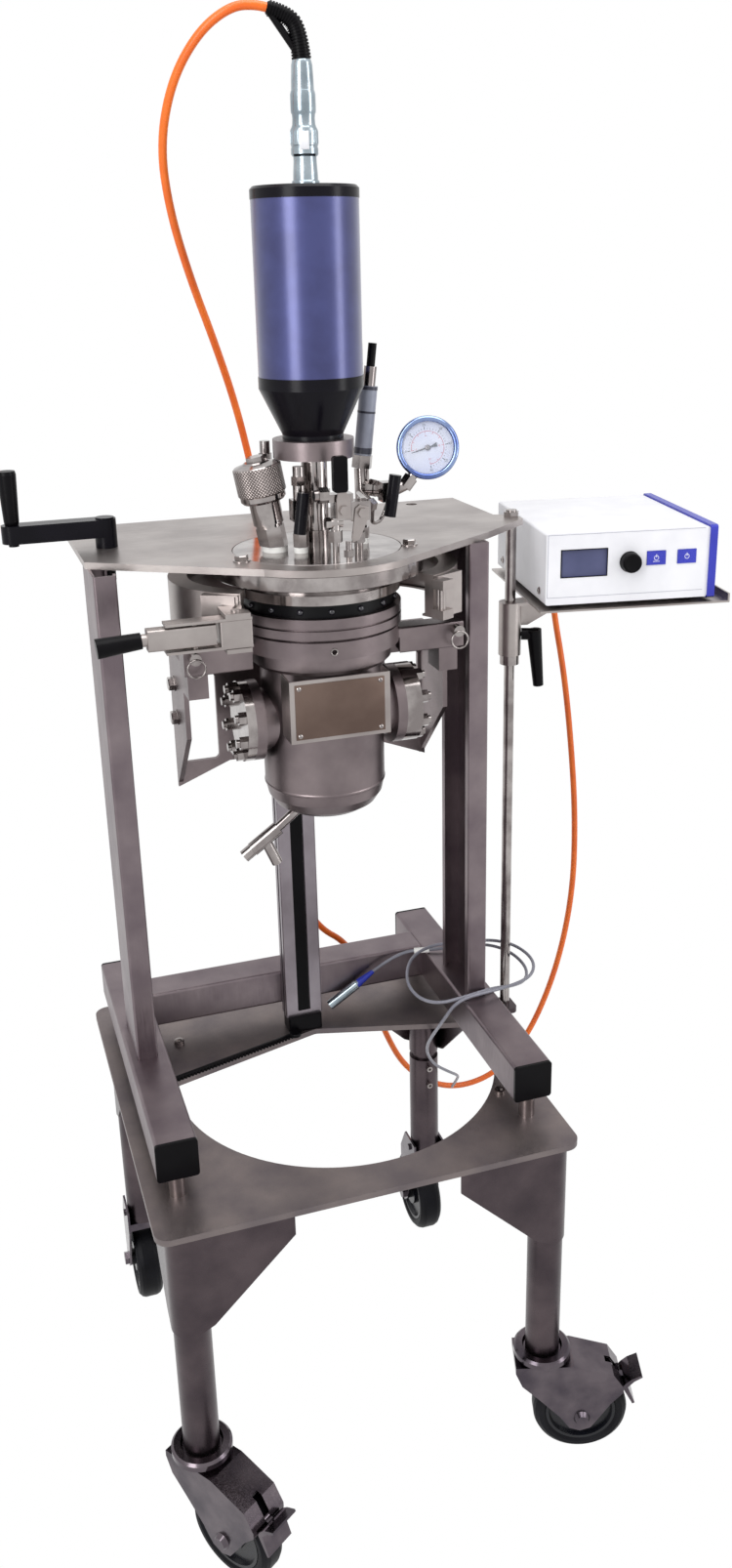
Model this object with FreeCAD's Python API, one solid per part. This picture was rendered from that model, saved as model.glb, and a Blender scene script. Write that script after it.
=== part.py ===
import FreeCAD, Part
import math
import os

# Every length is in millimetres and every angle in degrees.
# The model is drawn with the vessel's axis at x = 0, y = 0 and the floor at z = 0.
# At the end every piece is moved so that the middle of the whole object is at x = 0, y = 0.

os.makedirs("parts", exist_ok=True)
V = FreeCAD.Vector
UP = V(0, 0, 1)

# General clearances
run_gap = 0.05       # radial gap of a pin in its bore
part_gap = 0.3       # gap between neighbouring pieces that move against each other

# Trolley
trolley_x = -26.0
plate_half = 264.0
plate_y = -0.5
plate_top = 490.0
plate_t = 8.0
plate_corner = 18.0
bath_r = 215.0
bath_rear_y = 98.0
bath_rear_slope = 0.284
leg_r = 22.3
leg_wall = 2.5
leg_dx = 228.4
leg_front_y = -240.0
leg_rear_y = 203.0
leg_bottom = 160.0
inner_leg_r = 18.0
leg_collar_z = 339.0
skirt_t = 2.0
skirt_reach = 125.0
skirt_edge = 25.0
skirt_low_z = 345.0
skirt_foot_z = 357.0
skirt_foot_u = 24.0

# Casters
wheel_r = 62.5
wheel_w = 35.0
hub_r = 22.0
axle_r = 6.0
caster_trail = 52.0
rear_trail = 28.0
cup_r = 37.5
cup_top = 165.0
stem_r = 10.0
fork_half = 27.0
fork_t = 2.5
left_turn = -56.0
right_turn = -18.0
pedal_pin_r = 2.5
pedal_pin_t = 101.0
pedal_pin_z = 109.0
pedal_eye_r = 4.2

# Rails, uprights and lift column
rail_w = 50.0
rail_wall = 3.0
rail_dx = 224.4
rail_y0 = -204.0
rail_y1 = 245.0
rail_z0 = 522.5
cross_y0 = 131.0
spacer_r = 10.0
cap_t = 4.0
upright_d = 26.3
upright_w = 97.0
upright_y0 = -22.0
upright_lip = 12.0
upright_wall = 3.0
upright_left_x = -265.0
upright_right_x = 211.2
column_x = -13.0
column_w = 52.0
column_y0 = 105.0
column_top = 1100.0
belt_w = 16.0
column_foot = 22.0

# Top plate and lid
top_z = 1202.5
top_t = 8.0
top_half = 267.5
top_back = 246.0
top_side_y = 26.0
nose_r = 127.0
tab_x = 297.0
hole_x = 199.0
hole_y = 221.0
hole_r = 7.5
lid_r = 99.7
lid_bore_gap = 0.3
lid_flange_r = 125.0
lid_flange_z = 1177.0
lid_ring_r = 97.0
lid_ring_z1 = 1166.0
lid_ring_z0 = 1155.0
seal_z = 1139.0
seal_r = 91.0

# Vessel
vessel_r = 74.5
vessel_bore_r = 60.0
vessel_dish_z = 915.0
vessel_low_z = 874.0
flange_r = 95.0
flange_z1 = 1111.0
flange_z0 = 1090.0
ring_r = 98.0
ring_low_z = 1115.0
ring_mid_z = 1128.0
neck_r = 85.0
neck_z = 1068.0
port_z = 999.0
port_r = 49.0
port_neck_r = 38.0
port_bore_r = 26.0
port_face = 94.0
port_left_end = 105.0
port_right_end = 114.0
port_pcd_r = 40.0
port_bolts = 8
plate_w = 121.0
plate_h = 75.0
plate_x0 = -66.0
plate_z0 = 996.0
plate_front_y = -97.0
lift_travel = 290.0

# Clamp
pivot_y = 136.0
pivot_r = 6.0
clamp_r = 113.0
clamp_bore_r = 99.0
clamp_z0 = 1125.3
clamp_z1 = 1176.0
clamp_lip_r = 90.5
clamp_open = 27.0
clamp_groove_z = 1166.3
latch_x = -126.0
latch_y = -112.0
latch_pin_r = 5.0
lever_pin_x = -172.0

# Stirrer drive
collar_r = 46.7
collar_z0 = 1308.0
collar_z1 = 1329.0
motor_neck_r = 35.0
motor_neck_z = 1334.0
cone_r = 59.5
cone_z = 1385.0
body_z0 = 1398.0
body_z1 = 1583.0
body_r = 59.0
motor_top = 1596.0
connector_x = 2.0
shaft_r = 6.0
stirrer_low = 900.0
blade_r = 35.0

# Crank
crank_x = -231.0
crank_y = 104.0
crank_reach = 107.0
crank_arm_z0 = 1216.0
crank_arm_z1 = 1237.0
crank_w = 26.0
crank_turns = 14.5

# Fittings on the lid
gauge_centre = V(140, 0, 1309)
gauge_r = 36.0
gauge_dir = V(-0.34, -0.92, 0.18)
gauge_valve_centre = V(89, -18, 1259)
gauge_valve_axis = V(0, 1, 0)
gauge_spindle_r = 4.0
ball_pivot = V(8.7, -82.3, 1258.7)
ball_screw_r = 3.0
drain_axis = V(-11, 0, -7.8)
drain_spindle_r = 3.0
drain_end = V(-100.25, -12, 833.83)
cap_foot = V(-50.7, -0.3, 1202.5)
port_slope = V(-0.174, 0, 0.985)
white_ring_h = 6.5
needle_valve = V(-25.2, -22, 1202.5)
needle_spindle = V(-28.5, -42, 1251)
rear_port = V(57.3, 0.3, 1202.5)
front_tube = V(0.5, -77, 1202.5)
rear_ball_screw = V(35.3, -66.3, 1251.7)
sensor_foot = V(72, 40, 1300)
sensor_axis = V(0.12, 0, 1)
cap_knurl_r = 28.0

# Support rod, shelf and control box
rod_x = 285.0
rod_y = 80.0
rod_r = 7.0
rod_foot_z = 474.0
rod_top_z = 1212.0
shelf_collar_r = 15.0
shelf_collar_z0 = 1018.0
shelf_z = 1090.0
stop_ring_r = 13.0
stop_ring_z0 = 1005.0
box_x = 303.0
box_y = 11.0
box_turn = -9.4
box_w = 226.4
box_d = 247.3
box_h = 91.7
box_top = 1190.0
knob_u = 110.0
knob_z = 1150.0
clamp_screw_z = 1046.0
clamp_screw_axis = V(0.906, -0.423, 0)
clamp_screw_r = 3.0

# Cords
motor_cable_r = 4.75
sensor_cable_r = 2.25
bend_share = 0.45
sleeve_r = 9.5
sleeve_route = [V(2, 0, 1719), V(0, 0, 1744), V(-10, 1, 1760), V(-32, 3, 1766)]
motor_cable_route = [
    V(-32, 3, 1766), V(-43, 4, 1769), V(-70, 8, 1767), V(-102, 24, 1744), V(-128, 50, 1700), V(-139, 78, 1640),
    V(-128, 106, 1575), V(-104, 138, 1505), V(-72, 174, 1430), V(-42, 210, 1352), V(-18, 242, 1268),
    V(0, 264, 1180), V(11, 274, 1070), V(12, 272, 940), V(8, 268, 825), V(10, 266, 720),
    V(22, 264, 632), V(54, 263, 560), V(102, 268, 522), V(138, 278, 440), V(162, 287, 345),
    V(206, 294, 248), V(284, 299, 190), V(370, 300, 200), V(432, 300, 268), V(480, 300, 385),
    V(506, 302, 520), V(508, 306, 655), V(499, 312, 785), V(488, 322, 900), V(477, 342, 995),
    V(473, 352, 1068), V(469, 321, 1119), V(459, 261, 1125)]
plug_tip = V(28, 118, 511)
plug_mid = V(70, 120, 536)
plug_end = V(96, 122, 551)
sensor_cable_route = [
    V(96, 122, 551), V(135, 125, 573.5), V(182, 108, 577), V(228, 96, 579), V(266, 104, 572),
    V(298, 92, 560), V(308, 56, 552), V(292, 20, 552), V(258, -4, 562), V(222, -22, 577),
    V(178, -32, 578), V(142, -18, 566), V(122, 12, 564), V(120, 50, 572), V(140, 84, 586),
    V(182, 100, 590), V(230, 90, 588), V(268, 98, 582), V(304, 88, 572), V(316, 48, 566),
    V(296, 8, 566), V(256, -20, 574), V(210, -40, 584), V(164, -36, 578), V(152, -10, 532),
    V(152, 28, 488), V(160, 72, 444), V(176, 116, 398), V(200, 150, 352), V(234, 170, 318),
    V(262, 204, 284), V(276, 246, 246), V(282, 282, 208)]


# Helpers

def block(x0, x1, y0, y1, z0, z1):
    return Part.makeBox(x1 - x0, y1 - y0, z1 - z0, V(x0, y0, z0))


def post(x, y, z0, z1, r):
    return Part.makeCylinder(r, z1 - z0, V(x, y, z0))


def pipe_up(x, y, z0, z1, r_out, r_in):
    return post(x, y, z0, z1, r_out).cut(post(x, y, z0, z1, r_in))


def rod(start, end, r):
    line = end.sub(start)
    return Part.makeCylinder(r, line.Length, start, line)


def taper(start, end, r0, r1):
    line = end.sub(start)
    return Part.makeCone(r0, r1, line.Length, start, line)


def turned(profile, x=0, y=0):
    """Solid of revolution about a vertical axis from (radius, z) pairs."""
    points = [V(x + r, y, z) for r, z in profile]
    face = Part.Face(Part.makePolygon(points + [points[0]]))
    return face.revolve(V(x, y, 0), UP, 360)


def plate_from(outline, z0, z1):
    """Flat plate from (x, y) pairs."""
    points = [V(x, y, z0) for x, y in outline]
    face = Part.Face(Part.makePolygon(points + [points[0]]))
    return face.extrude(V(0, 0, z1 - z0))


def side_plate(outline, y0, y1):
    """Plate from (x, z) pairs, standing across the y axis."""
    points = [V(x, y0, z) for x, z in outline]
    face = Part.Face(Part.makePolygon(points + [points[0]]))
    return face.extrude(V(0, y1 - y0, 0))


def end_plate(outline, x0, x1):
    """Plate from (y, z) pairs, standing across the x axis."""
    points = [V(x0, y, z) for y, z in outline]
    face = Part.Face(Part.makePolygon(points + [points[0]]))
    return face.extrude(V(x1 - x0, 0, 0))


def hexagon(r, length):
    """Hexagonal bar on the z axis; r is the radius over its corners."""
    corners = [V(r * math.cos(math.radians(60 * k)), r * math.sin(math.radians(60 * k)), 0) for k in range(6)]
    return Part.Face(Part.makePolygon(corners + [corners[0]])).extrude(V(0, 0, length))


def soften(shape, radius, along=UP):
    """Rounds the straight edges that run along one direction."""
    edges = []
    for edge in shape.Edges:
        if edge.Curve.TypeId == "Part::GeomLine" and abs(edge.Curve.Direction.dot(along)) > 0.999:
            edges.append(edge)
    return shape.makeFillet(radius, edges)


def aim(shape, origin, direction):
    """Moves a shape drawn on the z axis so that it starts at origin and points along direction."""
    result = shape.copy()
    turn = FreeCAD.Placement(origin, FreeCAD.Rotation(UP, direction))
    result.Placement = turn.multiply(result.Placement)
    return result


def turn_about(shape, x, y, angle):
    result = shape.copy()
    result.rotate(V(x, y, 0), UP, angle)
    return result


def shift(shape, x, y, z):
    result = shape.copy()
    result.translate(V(x, y, z))
    return result


def join(pieces):
    result = pieces[0]
    for piece in pieces[1:]:
        result = result.fuse(piece)
    return result.removeSplitter()


def group(pieces):
    return Part.makeCompound(pieces)


def cap_screw(head_r, head_h, direction, origin):
    """Socket head with its hexagonal recess; origin is on the seating face."""
    head = Part.makeCylinder(head_r, head_h)
    head = head.cut(shift(hexagon(head_r * 0.55, head_h), 0, 0, head_h * 0.45))
    return aim(head, origin, direction)


def cord(route, r, name):
    """Tube along straight runs joined by tangent arcs."""
    runs = [route[k + 1].sub(route[k]) for k in range(len(route) - 1)]
    edges = []
    start = route[0]
    smallest = 1e9
    for k in range(1, len(route) - 1):
        before = V(runs[k - 1]).normalize()
        after = V(runs[k]).normalize()
        half_turn = before.getAngle(after) / 2
        cut = bend_share * min(runs[k - 1].Length, runs[k].Length)
        smallest = min(smallest, cut / math.tan(half_turn))
        enter = route[k] - before * cut
        leave = route[k] + after * cut
        inward = (after - before).normalize()
        radius = cut / math.tan(half_turn)
        middle = route[k] + inward * radius * (1 / math.cos(half_turn) - 1)
        edges.append(Part.makeLine(start, enter))
        edges.append(Part.Arc(enter, middle, leave).toShape())
        start = leave
    edges.append(Part.makeLine(start, route[-1]))
    path = Part.Wire(edges)
    ring = Part.Wire(Part.makeCircle(r, route[0], V(runs[0]).normalize()))
    tube = path.makePipeShell([ring], True, False)
    print(name, "smallest bend radius", round(smallest, 1), "diameter", 2 * r,
          "length", round(path.Length), "volume over section", round(tube.Volume / (math.pi * r * r)))
    return tube


def motor_cable():
    return cord(motor_cable_route, motor_cable_r, "motor cable")


def sensor_cable():
    return cord(sensor_cable_route, sensor_cable_r, "sensor cable")


def sensor_plug():
    metal = rod(plug_tip, plug_mid, 7)
    line = plug_end.sub(plug_mid)
    boot = Part.makeCone(6, 3, line.Length, plug_mid, line)
    first = sensor_cable_route[1]
    second = sensor_cable_route[2]
    along = second.sub(first).normalize()
    start = first + along * 24
    mark = rod(start, start + along * 22, 4)
    mark = mark.cut(cord(sensor_cable_route[:4], sensor_cable_r + run_gap, "bore of the mark"))
    return group([metal.fuse(boot), mark])


# Trolley

def trolley_plate():
    x0 = trolley_x - plate_half
    y0 = plate_y - plate_half
    plate = block(x0, x0 + 2 * plate_half, y0, y0 + 2 * plate_half, plate_top - plate_t, plate_top)
    plate = soften(plate, plate_corner)
    far = 300.0
    drop = bath_rear_slope * far
    wedge = plate_from([(-far, -far), (far, -far), (far, bath_rear_y - drop), (0, bath_rear_y),
                        (-far, bath_rear_y - drop)], plate_top - plate_t - 1, plate_top + 1)
    opening = post(0, 0, plate_top - plate_t - 1, plate_top + 1, bath_r).common(wedge)
    opening = soften(opening, 12.0)
    plate = plate.cut(opening)
    bracket = block(rod_x - 57.5, rod_x + 14, rod_y - 18, rod_y + 18, rod_foot_z, plate_top - plate_t)
    bracket = soften(bracket, 8.0)
    plate = plate.fuse(bracket)
    plate = plate.cut(post(rod_x, rod_y, rod_foot_z - 1, plate_top, rod_r))
    return plate.removeSplitter()


def leg_skirt(x, y, r, side_x, side_y):
    """Bent sheet with a wing along x and a wing along y, wrapped round the leg's outer corner."""
    zt = plate_top - plate_t
    outline = [(0, skirt_low_z), (skirt_foot_u, skirt_foot_z), (skirt_reach, zt - skirt_edge),
               (skirt_reach, zt), (0, zt)]
    wing_x = side_plate(outline, -r - skirt_t, -r)
    wing_y = end_plate(outline, -r - skirt_t, -r)
    bend = pipe_up(0, 0, skirt_low_z, zt, r + skirt_t, r)
    bend = bend.common(block(-2 * r, 0, -2 * r, 0, skirt_low_z, zt))
    skirt = join([bend, wing_x, wing_y])
    if side_x > 0:
        skirt = skirt.mirror(V(0, 0, 0), V(1, 0, 0))
    if side_y > 0:
        skirt = skirt.mirror(V(0, 0, 0), V(0, 1, 0))
    return shift(skirt, x, y, 0)


def leg_places():
    left = trolley_x - leg_dx
    right = trolley_x + leg_dx
    return [(left, leg_front_y), (right, leg_front_y), (left, leg_rear_y), (right, leg_rear_y)]


def trolley_legs():
    legs = []
    zt = plate_top - plate_t
    plug_h = 30.0
    for k, (x, y) in enumerate(leg_places()):
        telescopic = k == 3
        r = inner_leg_r if telescopic else leg_r
        side_x = 1 if x > trolley_x else -1
        side_y = 1 if y > 0 else -1
        skirt = leg_skirt(x, y, leg_r, side_x, side_y)
        low = pipe_up(x, y, leg_bottom, leg_collar_z if telescopic else zt, leg_r, leg_r - leg_wall)
        plug = pipe_up(x, y, leg_bottom, leg_bottom + plug_h, leg_r, stem_r + run_gap)
        leg = join([low, plug])
        if telescopic:
            inner = pipe_up(x, y, leg_collar_z - 60, zt, r, r - leg_wall)
            sleeve = pipe_up(x, y, skirt_low_z + 4, zt, leg_r, r - 1)
            ring = pipe_up(x, y, leg_collar_z - 60, leg_collar_z, leg_r, r - 1)
            leg = join([leg, inner, ring, sleeve])
        legs.append(leg.fuse(skirt).removeSplitter())
    return group(legs)


# Casters, drawn with the swivel axis at x = 0, y = 0 and the trail along +x

def place_caster(shape, side):
    x, y = leg_places()[side]
    turned_shape = turn_about(shape, 0, 0, (left_turn, right_turn)[side])
    return shift(turned_shape, x, y, 0)


def caster_head(side):
    cup_floor = leg_bottom - part_gap
    hood_top = 149.0
    cup = turned([(0, hood_top), (cup_r - 6, hood_top), (cup_r, hood_top + 6), (cup_r, cup_top - 3),
                  (cup_r - 3, cup_top), (leg_r + 4, cup_top), (leg_r + 2, cup_floor), (0, cup_floor)])
    stem = post(0, 0, cup_floor, cup_floor + 28, stem_r)
    outer = [(-37, hood_top), (-37, 140), (-28, 118), (-6, 96), (22, 66), (36, 46), (50, 41),
             (64, 46), (76, 64), (90, 86), (106, 104), (106, 112), (92, 134), (40, 150), (20, hood_top)]
    hood = side_plate(outer, -fork_half, fork_half)
    inner = [(-34, hood_top - 3), (-34, 0), (103, 0), (103, 111), (90.5, 131), (39, 147), (20, hood_top - 3)]
    inner_half = fork_half - fork_t
    hood = hood.cut(side_plate(inner, -inner_half, inner_half))
    slot = block(84, 112, -5, 5, 96, 140)
    hood = hood.cut(slot)
    axle = rod(V(caster_trail, -fork_half - 5, wheel_r), V(caster_trail, fork_half + 5, wheel_r), axle_r)
    heads = []
    for direction in (-1, 1):
        seat = V(caster_trail, direction * fork_half, wheel_r)
        heads.append(aim(Part.makeCone(11, 8, 6), seat, V(0, direction, 0)))
    pin = rod(V(pedal_pin_t, -fork_half, pedal_pin_z), V(pedal_pin_t, fork_half, pedal_pin_z), pedal_pin_r)
    return place_caster(join([cup, stem, hood, axle, pin] + heads), side)


def brake_pedal(side):
    outline = [(107, 108), (110, 112), (118, 119), (131, 125), (132, 122), (121, 115), (113, 106),
               (123, 80), (120, 78), (107, 103)]
    pedal = side_plate(outline, -20, 20)
    eye = rod(V(pedal_pin_t, -4.5, pedal_pin_z), V(pedal_pin_t, 4.5, pedal_pin_z), pedal_eye_r)
    tongue = block(pedal_pin_t, 109, -4.5, 4.5, pedal_pin_z - 3, pedal_pin_z + 2)
    pedal = join([pedal, eye, tongue])
    bore = rod(V(pedal_pin_t, -30, pedal_pin_z), V(pedal_pin_t, 30, pedal_pin_z), pedal_pin_r + run_gap)
    return place_caster(pedal.cut(bore).removeSplitter(), side)


def wheel(half_hub):
    """Wheel on the y axis: rubber tyre and plastic hub."""
    half = wheel_w / 2
    tyre_in = wheel_r - 16
    tyre = turned([(tyre_in, -half + 3), (tyre_in + 4, -half), (wheel_r - 7, -half), (wheel_r - 2, -half + 4),
                   (wheel_r, -half + 9), (wheel_r, half - 9), (wheel_r - 2, half - 4), (wheel_r - 7, half),
                   (tyre_in + 4, half), (tyre_in, half - 3)])
    bore = axle_r + run_gap
    hub = turned([(bore, -half_hub), (12, -half_hub), (12, -half + 1), (hub_r, -half + 1), (hub_r, -half + 7),
                  (tyre_in - 6, -half + 7), (tyre_in - 4, -half + 2), (tyre_in, -half + 2), (tyre_in, half - 2),
                  (tyre_in - 4, half - 2), (tyre_in - 6, half - 7), (hub_r, half - 7), (hub_r, half - 1),
                  (12, half - 1), (12, half_hub), (bore, half_hub)])
    pieces = []
    for piece in (tyre, hub):
        piece.rotate(V(0, 0, 0), V(1, 0, 0), 90)
        pieces.append(piece)
    return group(pieces)


def front_wheel(side):
    half_hub = fork_half - fork_t - part_gap
    return place_caster(shift(wheel(half_hub), caster_trail, 0, wheel_r), side)


rear_fork_in = leg_r + part_gap


def rear_caster_forks():
    forks = []
    for x, y in leg_places()[2:]:
        y_axle = y + rear_trail
        pieces = []
        for side in (-1, 1):
            x_in = x + side * rear_fork_in
            x_out = x + side * (rear_fork_in + 3)
            outline = [(y - 22, leg_bottom + 24), (y - 22, 146), (y_axle - 13, 58), (y_axle, 46),
                       (y_axle + 13, 58), (y_axle + 15, 146), (y + 22, leg_bottom + 24)]
            pieces.append(end_plate(outline, min(x_in, x_out), max(x_in, x_out)))
            seat = V(x_out, y_axle, wheel_r)
            pieces.append(aim(hexagon(10, 6), seat, V(side, 0, 0)))
            pieces.append(aim(Part.makeCylinder(5, 3), V(x_out, y, leg_bottom + 10), V(side, 0, 0)))
        bridge = block(x - rear_fork_in, x + rear_fork_in, y - 20, y + 20, leg_bottom - 12, leg_bottom)
        axle = rod(V(x - rear_fork_in, y_axle, wheel_r), V(x + rear_fork_in, y_axle, wheel_r), axle_r)
        forks.append(join([bridge, axle] + pieces))
    return group(forks)


def rear_wheel(side):
    x, y = leg_places()[2 + side]
    shape = turn_about(wheel(rear_fork_in - part_gap), 0, 0, 90)
    return shift(shape, x, y + rear_trail, wheel_r)


# Frame

def square_tube(x0, x1, y0, y1, z0, z1, along_y):
    solid = block(x0, x1, y0, y1, z0, z1)
    solid = soften(solid, 4.0, V(0, 1, 0) if along_y else V(1, 0, 0))
    w = rail_wall
    if along_y:
        return solid.cut(block(x0 + w, x1 - w, y0 - 1, y1 + 1, z0 + w, z1 - w))
    return solid.cut(block(x0 - 1, x1 + 1, y0 + w, y1 - w, z0 + w, z1 - w))


def rail_centres():
    return (trolley_x - rail_dx, trolley_x + rail_dx)


def base_rails():
    half = rail_w / 2
    z1 = rail_z0 + rail_w
    rails = []
    for x in rail_centres():
        rails.append(square_tube(x - half, x + half, rail_y0 + cap_t, rail_y1 - cap_t, rail_z0, z1, True))
    left, right = rail_centres()
    cross = square_tube(left + half, right - half, cross_y0, cross_y0 + rail_w, rail_z0, z1, False)
    return join(rails + [cross])


def plastic_trim():
    half = rail_w / 2
    pieces = []
    z1 = rail_z0 + rail_w
    for x in rail_centres():
        for y_face, inward in ((rail_y0, 1), (rail_y1, -1)):
            y_a = y_face
            y_b = y_face + inward * cap_t
            lid = block(x - half, x + half, min(y_a, y_b), max(y_a, y_b), rail_z0, z1)
            lid = soften(lid, 4.0, V(0, 1, 0))
            y_c = y_b + inward * 12
            in_half = half - rail_wall
            plug = block(x - in_half, x + in_half, min(y_b, y_c), max(y_b, y_c),
                         rail_z0 + rail_wall, z1 - rail_wall)
            pieces.append(lid.fuse(plug).removeSplitter())
    belt = block(column_x - belt_w / 2, column_x + belt_w / 2, column_y0 + 1, column_y0 + 4,
                 plate_top + column_foot + 9, column_top - 12)
    foot = block(column_x - column_w / 2 + 2, column_x + column_w / 2 - 2, column_y0 - 6, cross_y0,
                 plate_top, plate_top + column_foot)
    pieces.append(belt)
    pieces.append(soften(foot, 3.0))
    return group(pieces)


def frame_fasteners():
    pieces = []
    for x in rail_centres():
        for y in (rail_y0 + 18, rail_y1 - 25):
            pieces.append(post(x, y, plate_top, rail_z0, spacer_r))
    for x, y in ((-189, 131), (185, -132)):
        pieces.append(cap_screw(7, 4, UP, V(x, y, plate_top)))
    x, y = leg_places()[3]
    for z in (leg_collar_z - 12, leg_collar_z - 42):
        pieces.append(cap_screw(4.5, 6, V(0, -1, 0), V(x, y - leg_r, z)))
    for x, y in ((-95, -39), (99, -31)):
        away = math.hypot(x, y)
        scale = (lid_r + 9) / away
        pieces.append(cap_screw(5.5, 4, UP, V(x * scale, y * scale, top_z)))
    return group(pieces)


def lipped_channel(x_web, inward):
    """Channel with its web at x_web and its mouth towards the vessel."""
    y0 = upright_y0
    y1 = upright_y0 + upright_w
    z0 = rail_z0 + rail_w
    z1 = top_z - top_t
    x_mouth = x_web + inward * upright_d
    outer = block(min(x_web, x_mouth), max(x_web, x_mouth), y0, y1, z0, z1)
    x_in = x_web + inward * upright_wall
    x_lip = x_mouth - inward * upright_wall
    w = upright_wall
    hollow = block(min(x_in, x_lip), max(x_in, x_lip), y0 + w, y1 - w, z0 - 1, z1 + 1)
    mouth = block(min(x_in, x_mouth + inward), max(x_in, x_mouth + inward),
                  y0 + upright_lip, y1 - upright_lip, z0 - 1, z1 + 1)
    return soften(outer, 3.0).cut(hollow).cut(mouth)


def uprights():
    return group([lipped_channel(upright_left_x, 1), lipped_channel(upright_right_x, -1)])


def lift_column():
    half = column_w / 2
    x0 = column_x - half
    column = block(x0, x0 + column_w, column_y0, cross_y0, plate_top + column_foot, column_top)
    column = soften(column, 2.0)
    groove = block(column_x - belt_w / 2 - 1, column_x + belt_w / 2 + 1, column_y0 - 1, column_y0 + 4,
                   plate_top + column_foot + 8, column_top - 11)
    column = column.cut(groove)
    for x in (x0, x0 + column_w - 4):
        column = column.cut(block(x, x + 4, column_y0 + 9, column_y0 + 15, plate_top - 1, column_top + 1))
    return column


# Top plate and lid

def top_plate():
    z0 = top_z - top_t
    outline = [(-top_half, top_back), (-top_half, top_side_y), (-87, -92.5), (0, -60), (87, -92.5),
               (218, -1), (294, 64), (tab_x, 93), (270, 104), (269, top_back)]
    plate = plate_from(outline, z0, top_z)
    nose = post(0, 0, z0, top_z, nose_r)
    plate = plate.fuse(nose).removeSplitter()
    plate = plate.cut(post(0, 0, z0 - 1, top_z + 1, lid_r + lid_bore_gap))
    plate = plate.cut(post(hole_x, hole_y, z0 - 1, top_z + 1, hole_r))
    plate = plate.cut(post(rod_x, rod_y, z0 - 1, top_z + 1, rod_r + run_gap))
    plate = plate.cut(post(crank_x, crank_y, z0 - 1, top_z + 1, 8 + run_gap))
    return plate


def reactor_lid():
    top = turned([(0, top_z), (lid_r - 1, top_z), (lid_r, top_z - 1), (lid_r, top_z - top_t),
                  (lid_flange_r - 1, top_z - top_t), (lid_flange_r, top_z - top_t - 1),
                  (lid_flange_r, lid_flange_z + 1), (lid_flange_r - 1, lid_flange_z), (88, lid_flange_z),
                  (88, lid_ring_z1), (lid_ring_r, lid_ring_z1), (lid_ring_r, lid_ring_z0), (0, lid_ring_z0)])
    return top.cut(post(0, 0, lid_ring_z0 - 1, top_z + 1, shaft_r + run_gap))


def seals():
    seal = pipe_up(0, 0, seal_z + part_gap, lid_ring_z0, seal_r, vessel_bore_r + 4)
    pieces = [seal]
    for foot, r_out, r_in in ((cap_foot, 15, 9), (needle_valve, 8, 5), (rear_port, 7, 4)):
        pieces.append(pipe_up(foot.x, foot.y, top_z, top_z + white_ring_h, r_out, r_in))
    return group(pieces)


# Vessel and lift carriage

def vessel_body():
    outer = [(0, vessel_low_z - 2), (30, vessel_low_z), (50, vessel_low_z + 5), (63, vessel_low_z + 13),
             (71, vessel_low_z + 25), (vessel_r, vessel_dish_z), (vessel_r, neck_z - 2),
             (neck_r - 5, neck_z), (neck_r, neck_z + 5), (neck_r, flange_z0), (flange_r, flange_z0),
             (flange_r, flange_z1), (88, flange_z1), (88, ring_low_z), (ring_r, ring_low_z),
             (ring_r, ring_mid_z - 3), (ring_r - 3.5, ring_mid_z - 3), (ring_r - 3.5, ring_mid_z),
             (ring_r, ring_mid_z), (ring_r, seal_z), (0, seal_z)]
    body = turned(outer)
    for side in (-1, 1):
        neck = rod(V(side * 40, 0, port_z), V(side * (port_face - 12), 0, port_z), port_neck_r)
        disc = rod(V(side * (port_face - 12), 0, port_z), V(side * port_face, 0, port_z), port_r)
        body = body.fuse(neck).fuse(disc)
    cavity = turned([(0, vessel_low_z + 12), (30, vessel_low_z + 14), (48, vessel_low_z + 22),
                     (vessel_bore_r, vessel_dish_z), (vessel_bore_r, seal_z + 1), (0, seal_z + 1)])
    body = body.cut(cavity)
    body = body.cut(rod(V(-port_face - 1, 0, port_z), V(port_face + 1, 0, port_z), port_bore_r))
    probe = V(-0.108, -0.994, 0)
    body = body.cut(rod(probe * (flange_r + 1) + V(0, 0, 1100), probe * (flange_r - 12) + V(0, 0, 1100), 4))
    return body.removeSplitter()


def side_port_covers():
    left = rod(V(-port_face, 0, port_z), V(-port_left_end, 0, port_z), port_r)
    right = rod(V(port_face, 0, port_z), V(port_right_end, 0, port_z), port_r)
    return group([left, right])


def carriage_bolts():
    pieces = []
    for side, face in ((-1, port_left_end), (1, port_right_end)):
        for k in range(port_bolts):
            angle = math.radians(360.0 * k / port_bolts + 22.5)
            y = port_pcd_r * math.cos(angle)
            z = port_z + port_pcd_r * math.sin(angle)
            nut = aim(hexagon(8.2, 9), V(side * face, y, z), V(side, 0, 0))
            stud = rod(V(side * (face + 9), y, z), V(side * (face + 13), y, z), 5)
            pieces.append(nut.fuse(stud))
    return group(pieces)


carriage_half = 168.0
carriage_t = 6.0
carriage_y0 = 10.0
carriage_y1 = 100.0
carriage_z0 = 888.0
carriage_z1 = 1075.0


def side_arms():
    """Arms from the vessel's flange to the carriage's side plates."""
    pieces = []
    for x0, x1 in ((-172, -80), (80, 174)):
        arm = block(x0, x1, -30, 0, flange_z0 - 20, flange_z0 + 12)
        arm = soften(arm, 3.0, V(1, 0, 0))
        arm = arm.cut(post(0, 0, 1000, 1200, flange_r))
        pieces.append(arm.cut(post(0, 0, 1000, flange_z0, flange_r + 1)))
    return pieces


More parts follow.
